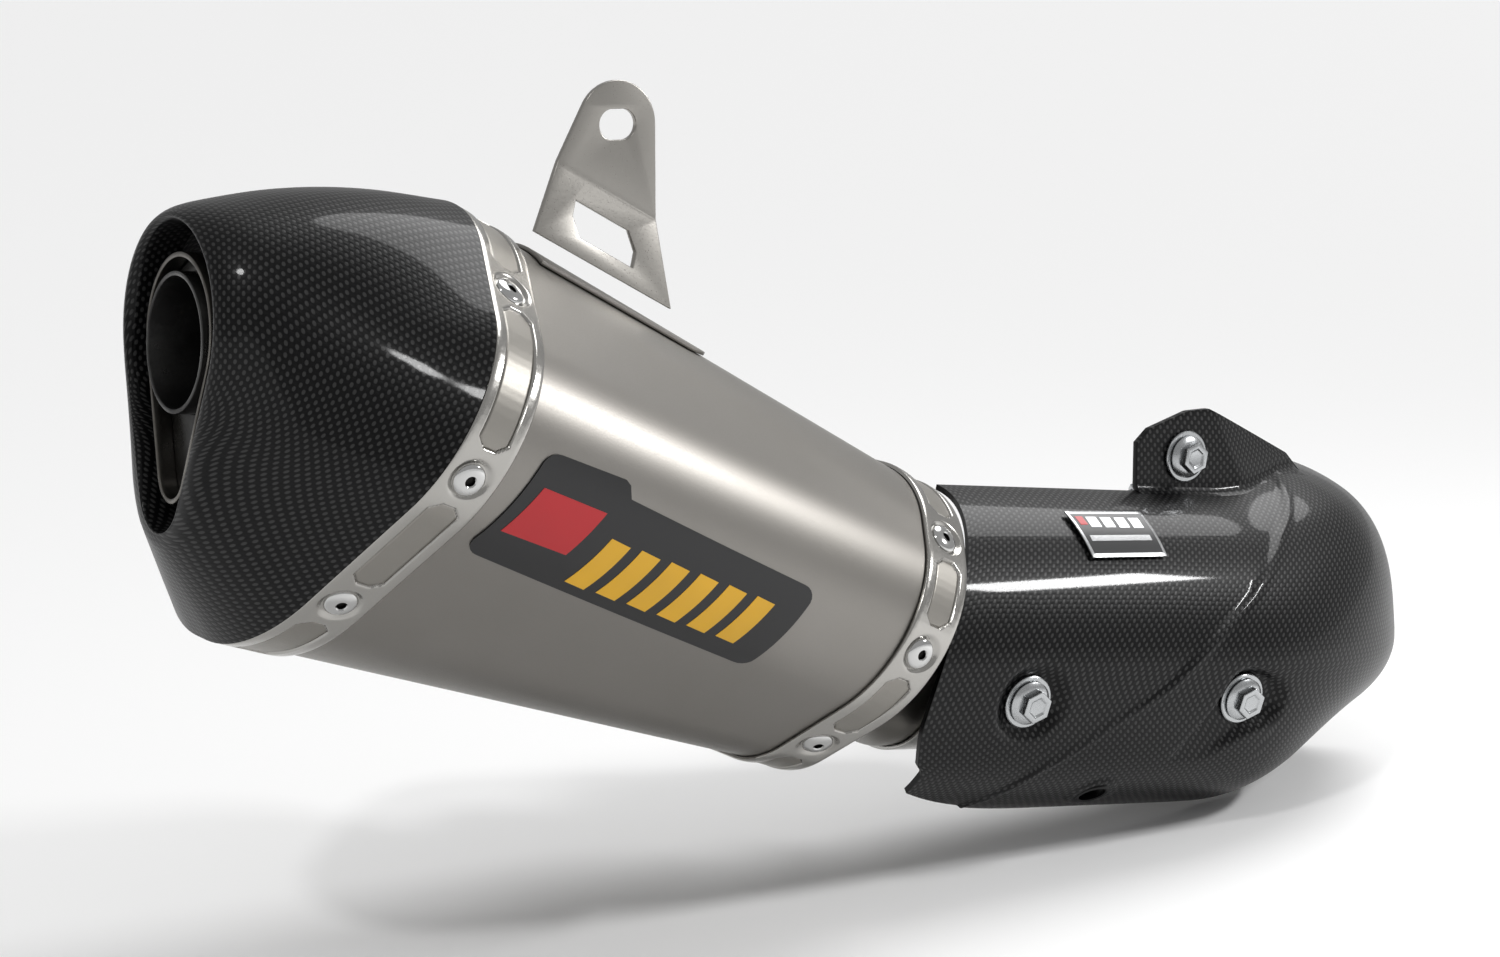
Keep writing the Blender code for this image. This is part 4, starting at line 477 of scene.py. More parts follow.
def flow(rows, steps):
    """Rows that run smoothly through the given rows, with the given number of steps between them."""
    rows = [np.asarray(row) for row in rows]
    rows = [2.0 * rows[0] - rows[1]] + rows + [2.0 * rows[-1] - rows[-2]]
    out = []
    for place in range(1, len(rows) - 2):
        a, b, c, d = rows[place - 1:place + 3]
        for t in np.arange(steps) / steps:
            out.append(0.5 * (2.0 * b + (c - a) * t + (2.0 * a - 5.0 * b + 4.0 * c - d) * t * t
                              + (3.0 * b - a - 3.0 * c + d) * t ** 3))
    out.append(rows[-2])
    return out


def calc(tree, operation, first, second=0.0, third=0.0):
    return add_node(tree, "ShaderNodeMath", {"operation": operation},
                    {0: first, 1: second, 2: third}).outputs[0]


def woven_carbon(name, pitch, base, crown, shade, coat_roughness):
    """Plain weave in resin under a clear coat: painted grey sheen on the warp tow crowns, near-black
    weft tows by turns.
    """
    made, tree, shader = start_material(name, base, 0.0, 0.42)
    cloth = add_node(tree, "ShaderNodeUVMap", {"uv_map": "cloth"}, {})
    parted = add_node(tree, "ShaderNodeSeparateXYZ", {}, {"Vector": cloth.outputs["UV"]})
    across = calc(tree, "MULTIPLY", parted.outputs["X"], 1.0 / pitch)
    over = calc(tree, "MULTIPLY", parted.outputs["Y"], 1.0 / pitch)
    cell = calc(tree, "ADD", calc(tree, "FLOOR", across), calc(tree, "FLOOR", over))
    weft = calc(tree, "FLOORED_MODULO", cell, 2.0)
    warp = calc(tree, "SUBTRACT", 1.0, weft)
    x = calc(tree, "SUBTRACT", calc(tree, "FRACT", across), 0.5)
    y = calc(tree, "SUBTRACT", calc(tree, "FRACT", over), 0.5)

    def tow(narrow, long, held):
        first = calc(tree, "POWER", calc(tree, "ABSOLUTE", calc(tree, "DIVIDE", narrow, 0.42)), 2.0)
        last = calc(tree, "POWER", calc(tree, "ABSOLUTE", calc(tree, "DIVIDE", long, 0.56)), 2.0)
        rise = calc(tree, "SUBTRACT", 1.0, calc(tree, "ADD", first, last))
        return calc(tree, "MULTIPLY", calc(tree, "MAXIMUM", rise, 0.0), held)
    warp_tow = tow(x, y, warp)
    weft_tow = tow(y, x, weft)
    # Painted sheen: the warp crowns get a grey colour and some metallic reflection in place of the light
    # that the tows catch.
    painted_sheen = calc(tree, "SMOOTH_MIN", calc(tree, "MULTIPLY", warp_tow, 1.6), 1.0)
    lit = add_node(tree, "ShaderNodeMix", {"data_type": "RGBA"}, {"Factor": painted_sheen, "A": linear(base),
                                                                 "B": linear(crown)})
    both = add_node(tree, "ShaderNodeMix", {"data_type": "RGBA"}, {"Factor": weft_tow,
                                                                  "A": lit.outputs["Result"],
                                                                  "B": linear(shade)})
    relief = add_node(tree, "ShaderNodeBump", {}, {"Height": calc(tree, "ADD", warp_tow, weft_tow),
                                                   "Strength": 0.4, "Distance": 0.0001})
    tree.links.new(both.outputs["Result"], shader.inputs["Base Color"])
    tree.links.new(calc(tree, "MULTIPLY", painted_sheen, 0.4), shader.inputs["Metallic"])
    tree.links.new(relief.outputs["Normal"], shader.inputs["Normal"])
    shader.inputs["Specular IOR Level"].default_value = 0.1
    shader.inputs["Coat Weight"].default_value = 0.20
    shader.inputs["Coat Roughness"].default_value = coat_roughness
    return made


# Clear-coated carbon: near-black resin, 1.5 mm tows whose crowns carry a painted grey sheen, glossy
# lacquer over all.
carbon = woven_carbon("clear_coated_carbon", 0.0015, "#020203", "#383838", "#070708", 0.06)
turns = np.arange(CAP_COLUMNS) * 360.0 / CAP_COLUMNS
rise = np.cos(np.radians(turns))
mouth_flat = egg(0.0375, 0.0030, 0.0265, -0.0290, 0.0, turns)
mouth = at_outlet(MOUTH_X + MOUTH_LEAN * mouth_flat[:, 1], mouth_flat)
mouth_heart = at_outlet(MOUTH_X, np.array(((0.0, -0.0130),)))[0]
fuller = 1.0 + 0.08 * np.sin(2.0 * np.radians(turns)) ** 2 * (rise > 0.0)
mouth = mouth_heart + (mouth - mouth_heart) * fuller[:, None]
recess = at_outlet(FACE_X, egg(0.0285, 0.0055, 0.0130, -0.0370, 0.0, turns))
start = section_ring(-SHEET_GAP, 0.0, turns)
heart = mouth.mean(axis=0)
slant = mouth - start
outward = start + slant * 0.5 - heart
outward -= slant * ((outward * slant).sum(axis=1) / (slant * slant).sum(axis=1))[:, None]
outward /= np.linalg.norm(outward, axis=1)[:, None]
swell = 0.045 * (1.0 + rise) * np.linalg.norm(slant, axis=1)
shell = []
for share in (0.25, 0.5, 0.75, 1.0):
    shell.append(start + slant * share + outward * (2.0 * share * (1.0 - share) * swell)[:, None])
lip_depth = (mouth - at_outlet(FACE_X, np.zeros((1, 2)))[0]) @ OUT_FORWARD
face_rows = []
for share, x_share in ((0.28, 0.60), (0.55, 0.90), (0.78, 1.0), (0.94, 0.93)):
    flat = mouth + (recess - mouth) * share
    flat = flat - np.outer((flat - at_outlet(FACE_X, np.zeros((1, 2)))[0]) @ OUT_FORWARD, OUT_FORWARD)
    face_rows.append(flat + np.outer(lip_depth * (1.0 - x_share), OUT_FORWARD))
tucked = [section_ring(u, CAP_SETBACK + 0.0005, turns) for u in (0.012, 0.004, 0.0012)]
turned_in = [start + (section_ring(0.0, CAP_SETBACK, turns) - start) * share for share in (0.75, 0.25)]
turned_in[0] = turned_in[0] + (start - shell[0]) * 0.010
smooth_shell = flow([start] + shell + face_rows + [recess + OUT_FORWARD * 0.0025], 8)
recess_wall = [recess + OUT_FORWARD * depth for depth in (0.0045, 0.0080, 0.0112, 0.0119)]
recess_floor = [at_outlet(FACE_X + 0.0120, egg(*[
    wide + (narrow - wide) * share for wide, narrow in zip(
        (0.0285, 0.0055, 0.0130, -0.0370), (0.0224, 0.0038, 0.0098, -0.0330))], 0.0, turns))
    for share in (0.12, 0.5, 1.0)]
cap_rows = tucked + [turned_in[0]] + smooth_shell + recess_wall + recess_floor
cap = lay_sheet("carbon_end_cap", cap_rows, True, cloth_from=CAP_COLUMNS * 100 // 360)
thicken(cap, CAP_WALL)
mount_piece(cap, "muffler", "carbon_gloss", carbon, "end_cap")


# ---- Outlet duct and noise damper --------------------------------------------------------------
# A welded egg-shaped steel duct shows inside the recess. The removable damper slides into it: a round
# tube welded through an egg-shaped plate. Heat has browned and sooted them; the sawn rims stay bright.
DUCT = (0.0221, 0.0038, 0.0095, -0.0330)
DUCT_WALL = 0.0015
DAMPER_R = 0.0193
DAMPER_WALL = 0.0014
DAMPER_LENGTH = 0.0440


def tempered_steel(name, clean, sooted, roughness):
    """Steel darkened by heat: blotches of scale and soot over brushed metal."""
    made, tree, shader = start_material(name, clean, 1.0, roughness)
    place = add_node(tree, "ShaderNodeTexCoord", {}, {})
    blotch = add_node(tree, "ShaderNodeTexNoise", {}, {"Vector": place.outputs["Object"], "Scale": 60.0,
                                                       "Detail": 5.0, "Roughness": 0.6})
    speck = add_node(tree, "ShaderNodeTexNoise", {}, {"Vector": place.outputs["Object"], "Scale": 1500.0,
                                                      "Detail": 2.0})
    held = add_node(tree, "ShaderNodeMapRange", {}, {"Value": blotch.outputs["Fac"], "From Min": 0.35,
                                                     "From Max": 0.65})
    colour = add_node(tree, "ShaderNodeMix", {"data_type": "RGBA"}, {"Factor": held.outputs["Result"],
                                                                    "A": linear(clean),
                                                                    "B": linear(sooted)})
    rough = add_node(tree, "ShaderNodeMapRange", {}, {"Value": held.outputs["Result"],
                                                      "To Min": roughness, "To Max": roughness + 0.18})
    bump = add_node(tree, "ShaderNodeBump", {}, {"Height": speck.outputs["Fac"], "Strength": 0.3,
                                                 "Distance": 0.00005})
    tree.links.new(colour.outputs["Result"], shader.inputs["Base Color"])
    tree.links.new(rough.outputs["Result"], shader.inputs["Roughness"])
    tree.links.new(bump.outputs["Normal"], shader.inputs["Normal"])
    return made


# Heat-browned stainless for the duct, darker sooted steel for the damper.
browned_steel = tempered_steel("browned_stainless", "#77746F", "#4C4945", 0.22)
sooted_steel = tempered_steel("sooted_steel", "#565655", "#2C2B2B", 0.24)
axis_end = (0.0040 - SHEET_GAP)
seat_point = REAR_DATUM + axis_end * np.array((math.cos(PITCH), 0.0, -math.sin(PITCH)))
square = np.array((math.cos(PITCH), 0.0, -math.sin(PITCH)))
mouth_ring = at_outlet(DUCT_X, egg(*DUCT, 0.0, turns))
reach = ((seat_point - mouth_ring) @ square) / (OUT_FORWARD @ square)
duct = lay_sheet("outlet_duct_tube", [mouth_ring + np.outer(reach * share, OUT_FORWARD)
                                      for share in (0.0, 0.05, 0.3, 0.6, 1.0)], True)
thicken(duct, DUCT_WALL, 0.0004)
mount_piece(duct, "muffler", "steel_bright", browned_steel, "outlet_duct")

rim = 0.0004
tube = turned("damper_tube_turned", [
    (DAMPER_R - DAMPER_WALL, -DAMPER_LENGTH), (DAMPER_R, -DAMPER_LENGTH), (DAMPER_R, -rim),
    (DAMPER_R - rim * 0.3, -rim * 0.3), (DAMPER_R - rim, 0.0), (DAMPER_R - DAMPER_WALL + rim, 0.0),
    (DAMPER_R - DAMPER_WALL + rim * 0.3, -rim * 0.3), (DAMPER_R - DAMPER_WALL, -rim)], 96)
tube.data.transform(facing(OUT_PIVOT - OUT_FORWARD * 0.0010, -OUT_FORWARD))
mount_piece(tube, "noise_damper", "steel_dark", sooted_steel, "damper_tube")

hole = np.stack((-np.sin(np.radians(turns)), np.cos(np.radians(turns))), axis=1)
edge = egg(*DUCT, DUCT_WALL + 0.0004, turns, BORE_Z)
bore = hole * (DAMPER_R + 0.00015) + (0.0, BORE_Z)
plate = lay_sheet("damper_plate_sheet", [at_outlet(DUCT_X + 0.0050, edge + (bore - edge) * share)
                                         for share in (0.0, 0.33, 0.66, 1.0)], True,
                  inside=OUT_PIVOT + OUT_FORWARD * 0.03)
thicken(plate, 0.0015, 0.0002)
mount_piece(plate, "noise_damper", "steel_dark", sooted_steel, "damper_plate")


# ---- Front cap ---------------------------------------------------------------------------------
# The front cone is pressed from titanium sheet with its mouth drawn down to the round inlet stub. It
# tucks under the front band and is held by the same rivets.
INLET_PITCH = math.radians(7.0)
PIPE_R = 0.0300
BEND_START = 0.1170
BEND_R = 0.0900
BEND_SWEEP = math.radians(68.0)
TAIL = 0.0420
PIPE_START = REAR_DATUM + np.array((0.1740, 0.0, -0.1108))


def pipe_frame(along):
    """Centre, direction, up and outboard vectors of the link pipe at a length along its axis."""
    forward = np.array((math.cos(INLET_PITCH), 0.0, -math.sin(INLET_PITCH)))
    up = np.array((math.sin(INLET_PITCH), 0.0, math.cos(INLET_PITCH)))
    inboard = np.array((0.0, 1.0, 0.0))
    turn = min(max(along - BEND_START, 0.0) / BEND_R, BEND_SWEEP)
    centre = PIPE_START + forward * (min(along, BEND_START) + BEND_R * math.sin(turn))
    centre = centre + inboard * BEND_R * (1.0 - math.cos(turn))
    direction = forward * math.cos(turn) + inboard * math.sin(turn)
    outboard = forward * math.sin(turn) - inboard * math.cos(turn)
    centre = centre + direction * max(along - BEND_START - BEND_R * BEND_SWEEP, 0.0)
    return centre, direction, up, outboard


def pipe_ring(along, radius, angles):
    """World points about the pipe, at angles in degrees from up towards outboard."""
    centre, direction, up, outboard = pipe_frame(along)
    turn = np.radians(angles)
    spokes = np.outer(np.cos(turn), up) + np.outer(np.sin(turn), outboard)
    return centre + spokes * np.reshape(radius, (-1, 1))


stub_r = PIPE_R + 0.0016
under = [section_ring(u, 0.0028, ROUND) for u in (0.169, 0.175, 0.183)]
wide = section_ring(0.1853, 0.0028, ROUND)
neck = pipe_ring(0.0, stub_r, ROUND)
cone = []
for share in (0.0, 0.25, 0.5, 0.75, 1.0):
    middle = wide.mean(axis=0) + (neck.mean(axis=0) - wide.mean(axis=0)) * share
    ring = wide + (neck - wide) * share
    cone.append(middle + (ring - middle) * (1.0 - 0.14 * 4.0 * share * (1.0 - share)))
cone = flow(cone + [pipe_ring(0.006, stub_r, ROUND)], 8)
stub = [pipe_ring(along, stub_r, ROUND) for along in (0.010, 0.014, 0.018)]
front = lay_sheet("front_cone", under + cone + stub, True)
thicken(front, 0.0012)
pressed_titanium = grained_metal("pressed_titanium", "#8A8782", "#7B7872", 0.36, 0.05, 0.00035, 0.00004)
mount_piece(front, "muffler", "titanium_satin", pressed_titanium, "front_cap")


# ---- Hanger bracket and its foot ---------------------------------------------------------------
# The bracket is laser-cut from 2 mm titanium plate, folded along its sloping bend and TIG-welded to a
# strip on the sleeve. Its slot takes the M8 hanger bolt; the lower leaf has a hexagonal window.
PLATE = 0.0020
EYE_Z = 0.0122
EYE_R = 0.0125
SLOT_HALF = 0.0044
SLOT_RUN = 0.0016
FOLD_DROP = 0.0085
SLOPE = math.radians(29.0)
LEG = 0.0245
LEAN = 0.20
BEND_SOFTEN = 0.0015
REAR_BASE_X = -0.0300
FRONT_BASE_X = 0.0145
WINDOW_X = -0.0062
WINDOW_DROP = 0.0135
WINDOW_RUN = 0.0235
WINDOW_RISE = 0.0105
FOOT_START = 0.0250
FOOT_RUN = 0.0650
FOOT_THICK = 0.0012
FOOT_MIDDLE_DEG = 15.0
FOOT_HALF_DEG = 9.0
FOOT_NOSE = 0.86


def arc(x, z, radius, first, last, steps):
    turn = np.radians(np.linspace(first, last, steps))
    return [(x + radius * math.cos(t), z + radius * math.sin(t)) for t in turn]


def cut_plate(name, outlines, thickness, edge, place):
    """Flat plate cut along outlines (the first is its rim), its edges eased, moved to its place."""
    drawn = bpy.data.curves.new(name, "CURVE")
    drawn.dimensions = "2D"
    drawn.fill_mode = "BOTH"
    drawn.extrude = thickness / 2.0 - edge
    drawn.bevel_depth = edge
    drawn.bevel_resolution = 2
    drawn.offset = -edge
    for outline in outlines:
        spline = drawn.splines.new("POLY")
        spline.points.add(len(outline) - 1)
        for point, (x, z) in zip(spline.points, outline):
            point.co = (x, z, 0.0, 1.0)
        spline.use_cyclic_u = True
    piece = bpy.data.objects.new(name, drawn)
    bpy.context.scene.collection.objects.link(piece)
    select_only(piece)
    bpy.ops.object.convert(target="MESH")
    piece.data.transform(place)
    bpy.ops.object.mode_set(mode="EDIT")
    bpy.ops.mesh.select_all(action="SELECT")
    bpy.ops.mesh.remove_doubles(threshold=0.000005)
    bpy.ops.mesh.normals_make_consistent(inside=False)
    bpy.ops.object.mode_set(mode="OBJECT")
    bpy.ops.object.shade_smooth_by_angle(angle=math.radians(32.0))
    return piece


def fold_height(x):
    return -FOLD_DROP - x * math.tan(SLOPE)


base_front = (FRONT_BASE_X, fold_height(FRONT_BASE_X) - LEG)
base_rear = (REAR_BASE_X, fold_height(REAR_BASE_X) - LEG)
run = np.array((base_rear[0], base_rear[1] - EYE_Z))
tangent = math.degrees(math.atan2(run[1], run[0]) - math.acos(EYE_R / np.linalg.norm(run))) + 360.0
rim_line = arc(0.0, EYE_Z, EYE_R, tangent, 0.0, 60)
rim_line += [(EYE_R, fold_height(EYE_R)), base_front, base_rear]
slot = arc(SLOT_RUN, EYE_Z, SLOT_HALF, -90.0, 90.0, 24)
slot += arc(-SLOT_RUN, EYE_Z, SLOT_HALF, 90.0, 270.0, 24)
window_z = fold_height(WINDOW_X) - WINDOW_DROP
window = []
for run_share, rise_share in ((-0.42, 0.5), (0.42, 0.5), (0.5, 0.0),
                              (0.42, -0.5), (-0.42, -0.5), (-0.5, 0.0)):
    along = run_share * WINDOW_RUN
    window.append((WINDOW_X + along * math.cos(SLOPE),
                   window_z - along * math.sin(SLOPE) + rise_share * WINDOW_RISE))
upright = Matrix.Translation((0.0, PLATE / 2.0, 0.0)) @ Matrix.Rotation(math.radians(90.0), 4, "X")
bracket = cut_plate("bracket_plate", [rim_line, slot, window], PLATE, 0.00035, upright)
bpy.ops.object.mode_set(mode="EDIT")
for step in (-2, -1, 0, 1, 2, 3):
    bpy.ops.mesh.select_all(action="SELECT")
    bpy.ops.mesh.bisect(plane_co=(0.0, 0.0, fold_height(0.0) + step * 0.0006),
                        plane_no=(math.sin(SLOPE), 0.0, math.cos(SLOPE)))
bpy.ops.object.mode_set(mode="OBJECT")
for vertex in bracket.data.vertices:
    drop = fold_height(vertex.co.x) - vertex.co.z
    eased = max(drop, 0.0)
    if abs(drop) <= BEND_SOFTEN:
        eased = (drop + BEND_SOFTEN) ** 2 / (4.0 * BEND_SOFTEN)
    vertex.co.y -= eased * LEAN
bracket.data.update()
# Cut titanium plate: the same warm grey, a little darker and brushed along the cut.
plate_titanium = grained_metal("plate_titanium", "#A9A6A1", "#989590", 0.32, 0.05, 0.0004, 0.00003)
mount_piece(bracket, "muffler", "titanium_satin", plate_titanium, "hanger_bracket")

foot_rows = []
for share in np.concatenate((np.linspace(0.0, FOOT_NOSE, 12), (0.90, 0.94, 0.97, 0.99, 1.0))):
    u = FOOT_START + FOOT_RUN * share
    narrow = max(0.0, share - FOOT_NOSE) / (1.0 - FOOT_NOSE)
    shrink = math.sqrt(1.0 - 0.75 * narrow * narrow)
    spread = np.linspace(-FOOT_HALF_DEG, FOOT_HALF_DEG, 21) * shrink
    foot_rows.append(section_ring(u, 0.0, FOOT_MIDDLE_DEG + spread))
foot = lay_sheet("bracket_foot_strip", foot_rows, False, inside=(0.0, 0.0145, -0.10))
thicken(foot, FOOT_THICK, 0.0004)
mount_piece(foot, "muffler", "titanium_satin", satin_titanium, "bracket_foot")


# ---- Sleeve badge ------------------------------------------------------------------------------
# A flexible printed foil, half a millimetre thick, bonded to the outboard facet. Its mark is a plain red
# lozenge and a row of slanted yellow bars under a matt black ground.
BADGE_LIFT = 0.0005


def badge_patch(name, corners, lift, thickness, columns, rows, material):
    """Patch on the sleeve between four corners (along, degrees), lifted off it and given a thickness."""
    a, b, c, d = [np.array(corner) for corner in corners]
    grid = []
    for share in np.linspace(0.0, 1.0, columns):
        high = a + (b - a) * share
        low = d + (c - d) * share
        line = []
        for down in np.linspace(0.0, 1.0, rows):
            u, angle = high + (low - high) * down
            line.append(section_ring(u, SLEEVE_SKIN - lift, np.array((angle,)))[0])
        grid.append(line)
    patch = lay_sheet(name, grid, False, inside=REAR_DATUM + np.array((0.07, 0.0, -0.06)))
    thicken(patch, thickness)
    patch.data.materials.append(material)
    return patch


def printed_film(name, colour, roughness):
    """Printed film: slight variation of tone and a faint orange-peel in the surface."""
    made, tree, shader = start_material(name, colour, 0.0, roughness)
    place = add_node(tree, "ShaderNodeTexCoord", {}, {})
    peel = add_node(tree, "ShaderNodeTexNoise", {}, {"Vector": place.outputs["Object"], "Scale": 900.0,
                                                     "Detail": 2.0})
    wave = add_node(tree, "ShaderNodeTexNoise", {}, {"Vector": place.outputs["Object"], "Scale": 40.0,
                                                     "Detail": 2.0})
    shaded = add_node(tree, "ShaderNodeHueSaturation", {}, {"Color": linear(colour), "Value": calc(
        tree, "MULTIPLY_ADD", wave.outputs["Fac"], 0.3, 0.85)})
    bump = add_node(tree, "ShaderNodeBump", {}, {"Height": peel.outputs["Fac"], "Strength": 0.2,
                                                 "Distance": 0.00003})
    tree.links.new(shaded.outputs["Color"], shader.inputs["Base Color"])
    tree.links.new(bump.outputs["Normal"], shader.inputs["Normal"])
    return made


# Matt black foil, signal red and amber yellow inks.
black_foil = printed_film("black_foil", "#101012", 0.38)
red_ink = printed_film("red_ink", "#B4101A", 0.32)
yellow_ink = printed_film("yellow_ink", "#D9A514", 0.34)
BADGE_TOP = ((0.0258, 81.9), (0.0545, 81.0), (0.0565, 84.4), (0.0920, 85.7), (0.1300, 87.0))
BADGE_LOW = ((0.0228, 108.0), (0.0516, 109.4), (0.0536, 109.5), (0.0892, 111.2), (0.1275, 113.0))
BADGE_CORNER = 0.0045
BADGE_REACH = 0.0750
BADGE_CORNER_SHARE = 0.045
INK_LIFT = BADGE_LIFT + 0.00012
INK_THICK = 0.0002
BAR_PITCH = 0.0108
rounding = (1.0 - np.cos(np.linspace(0.0, math.pi / 2.0, 6))) * BADGE_CORNER_SHARE
shares = np.concatenate((rounding, np.linspace(0.06, 0.94, 45), 1.0 - rounding[::-1]))
reach = [0.0]
for first, last in zip(BADGE_TOP, BADGE_TOP[1:]):
    reach.append(reach[-1] + last[0] - first[0])
stops = np.array(reach) / reach[-1]
grid = []
for share in shares:
    high = np.array([np.interp(share, stops, [place[axis] for place in BADGE_TOP]) for axis in (0, 1)])
    low = np.array([np.interp(share, stops, [place[axis] for place in BADGE_LOW]) for axis in (0, 1)])
    inward = max(0.0, 1.0 - min(share, 1.0 - share) * reach[-1] / BADGE_CORNER)
    trim = math.degrees(BADGE_CORNER * (1.0 - math.sqrt(1.0 - inward * inward)) / BADGE_REACH)
    high[1] += trim
    low[1] -= trim
    grid.append([section_ring(u, SLEEVE_SKIN - BADGE_LIFT, np.array((angle,)))[0]
                 for u, angle in (high + (low - high) * down for down in np.linspace(0.0, 1.0, 27))])
badge = lay_sheet("badge_foil", grid, False, inside=REAR_DATUM + np.array((0.07, 0.0, -0.06)))
thicken(badge, BADGE_LIFT - 0.0001)
badge.data.materials.append(black_foil)
marks = [badge_patch("mark", ((0.0300, 89.0), (0.0520, 89.0), (0.0490, 100.5), (0.0270, 100.5)),
                     INK_LIFT, INK_THICK, 9, 9, red_ink)]
for number in range(6):
    first = 0.0580 + number * BAR_PITCH
    marks.append(badge_patch("mark", ((first, 93.5), (first + 0.0070, 93.9),
                                      (first + 0.0045, 107.2), (first - 0.0025, 106.8)),
                             INK_LIFT, INK_THICK, 5, 13, yellow_ink))
select_only(badge)
for mark in marks:
    mark.select_set(True)
bpy.ops.object.join()
mount_piece(badge, "muffler", "black_badge", None, "sleeve_badge")


# ---- Link pipe and collar ----------------------------------------------------------------------
# A mandrel-bent stainless tube, 60 mm across with a 1 mm wall, carries the gas to the silencer. Its
# front end wears a swaged socket that slips over the header. Heat has tinted it straw and brown.
PIPE_END = BEND_START + BEND_R * BEND_SWEEP + TAIL
PIPE_ROUND = np.arange(96) * 360.0 / 96
stations = np.concatenate((np.linspace(0.0035, BEND_START, 9)[:-1],
                           BEND_START + BEND_R * BEND_SWEEP * np.linspace(0.0, 1.0, 37)[:-1],
                           np.linspace(PIPE_END - TAIL, PIPE_END, 4)))
pipe = lay_sheet("link_tube", [pipe_ring(along, PIPE_R, PIPE_ROUND) for along in stations], True)
thicken(pipe, 0.0010, 0.0002)
mount_piece(pipe, "link_pipe", "steel_dark", browned_steel, "link_pipe")

collar_in = PIPE_R + 0.0003
collar_out = collar_in + 0.0020
collar_run = [(PIPE_END - 0.0120, collar_out - 0.0012), (PIPE_END - 0.0112, collar_out - 0.0003),
              (PIPE_END - 0.0100, collar_out), (PIPE_END + 0.0165, collar_out),
              (PIPE_END + 0.0177, collar_out - 0.0003), (PIPE_END + 0.0180, collar_out - 0.0010),
              (PIPE_END + 0.0177, collar_in + 0.0003), (PIPE_END + 0.0165, collar_in),
              (PIPE_END - 0.0117, collar_in), (PIPE_END - 0.0120, collar_out - 0.0012)]
collar = lay_sheet("swaged_collar", [pipe_ring(a, r, PIPE_ROUND) for a, r in collar_run], True,
                   inside=pipe_frame(PIPE_END)[0])
select_only(collar)
bpy.ops.object.mode_set(mode="EDIT")
bpy.ops.mesh.select_all(action="SELECT")
bpy.ops.mesh.remove_doubles(threshold=0.000002)
bpy.ops.mesh.normals_make_consistent(inside=False)
bpy.ops.object.mode_set(mode="OBJECT")
bpy.ops.object.shade_smooth_by_angle(angle=math.radians(40.0))
bright_steel = grained_metal("brushed_stainless", "#B9B8B5", "#A5A4A1", 0.24, 0.05, 0.0003, 0.00002)
mount_piece(collar, "link_pipe", "steel_bright", bright_steel, "inlet_collar")


# ---- Heat shield -------------------------------------------------------------------------------
# The shield is a carbon half-shell laid up in a mould, clear-coated and held off the pipe by three
# spacers. It has a sunk seat round each lower bolt, a pressed crease and a folded ear on top.
SHIELD_R = 0.0530
SHIELD_WALL = 0.0018
TOP_DEG = 5.5
BOTTOM_DEG = 168.0
SIDE_DEG = 107.0
CORNER_DEG = 139.0
START_TOP = 0.0150
START_SIDE = -0.0140
START_CORNER = -0.0060
SHIELD_END = BEND_START + BEND_R * math.radians(60.0)
LOWER_DEG = 100.0
BOLT_ALONG = (0.0260, 0.1140)
SEAT_SINK = 0.0045
SEAT_FLAT = 0.0092
SEAT_OUTER = 0.0145
CREASE = ((0.175, -5.0), (0.155, 15.0), (0.133, 38.0), (0.116, 62.0), (0.098, 77.0), (0.080, 94.0),
          (0.059, 108.0), (0.039, 127.0), (0.025, 151.0), (0.018, 175.0))
CREASE_STEP = 0.0006
CREASE_RUN = 0.0028
CREASE_RIDGE = 0.0006
CREASE_HALF = 0.0020
VENT_ALONG = 0.0700
VENT_DEG = 143.0
VENT_R = 0.0045


def to_line(point, first, last):
    """Distance to a stretch between two points, how far along it, and on which side."""
    run = last - first
    share = np.clip((point - first) @ run / (run @ run), 0.0, 1.0)
    away = point - (first + run * share)
    side = run[0] * (point - first)[1] - run[1] * (point - first)[0]
    return math.hypot(*away), share, side


def flat_place(along, angle):
    return np.array((along, math.radians(angle) * SHIELD_R))


crease_line = [flat_place(*place) for place in CREASE]
tail_place = flat_place(0.0955, 123.0)


def shield_radius(along, angle):
    """Radius of the outer face: swollen and tucked round the bend, with seats, crease and vent rim."""
    swell = ease((along - 0.1250) / 0.0450) * ease((80.0 - angle) / 50.0)
    tuck = ease((along - 0.1280) / 0.0450) * ease((angle - 85.0) / 45.0)
    skin = SHIELD_R + 0.0075 * swell - 0.0110 * tuck
    here = flat_place(along, angle)
    near = min((to_line(here, a, b) for a, b in zip(crease_line, crease_line[1:])),
               key=lambda found: found[0])
    below = near[0] if near[2] > 0.0 else -near[0]
    skin -= CREASE_STEP * ease((below + CREASE_RUN / 2.0) / CREASE_RUN)
    skin += CREASE_RIDGE * ease(1.0 - abs(below) / CREASE_HALF)
    centre, direction, up, outboard = pipe_frame(along)
    turn = math.radians(angle)
    ray = up * math.cos(turn) + outboard * math.sin(turn)
    reach = skin
    seat_turn = math.radians(LOWER_DEG)
    for number, bolt_along in enumerate(BOLT_ALONG):
        bolt = flat_place(bolt_along, LOWER_DEG)
        distance = math.hypot(*(here - bolt))
        wall = SEAT_OUTER - SEAT_FLAT
        if number == 1:
            away, share, side = to_line(here, bolt, tail_place)
            distance = away + (SEAT_FLAT - 0.0032) * share
            wall = 0.0032
        if distance < SEAT_FLAT + wall:
            heart, run, rise, out = pipe_frame(bolt_along)
            outward = rise * math.cos(seat_turn) + out * math.sin(seat_turn)
            seat = heart + outward * (SHIELD_R - SEAT_SINK)
            floor = (seat - centre) @ outward / (ray @ outward)
            reach = min(reach, skin + (floor - skin) * ease((SEAT_FLAT + wall - distance) / wall))
    vent = math.hypot(*(here - flat_place(VENT_ALONG, VENT_DEG)))
    return reach + 0.0006 * ease((0.0030 - abs(vent - VENT_R - 0.0022)) / 0.0020)


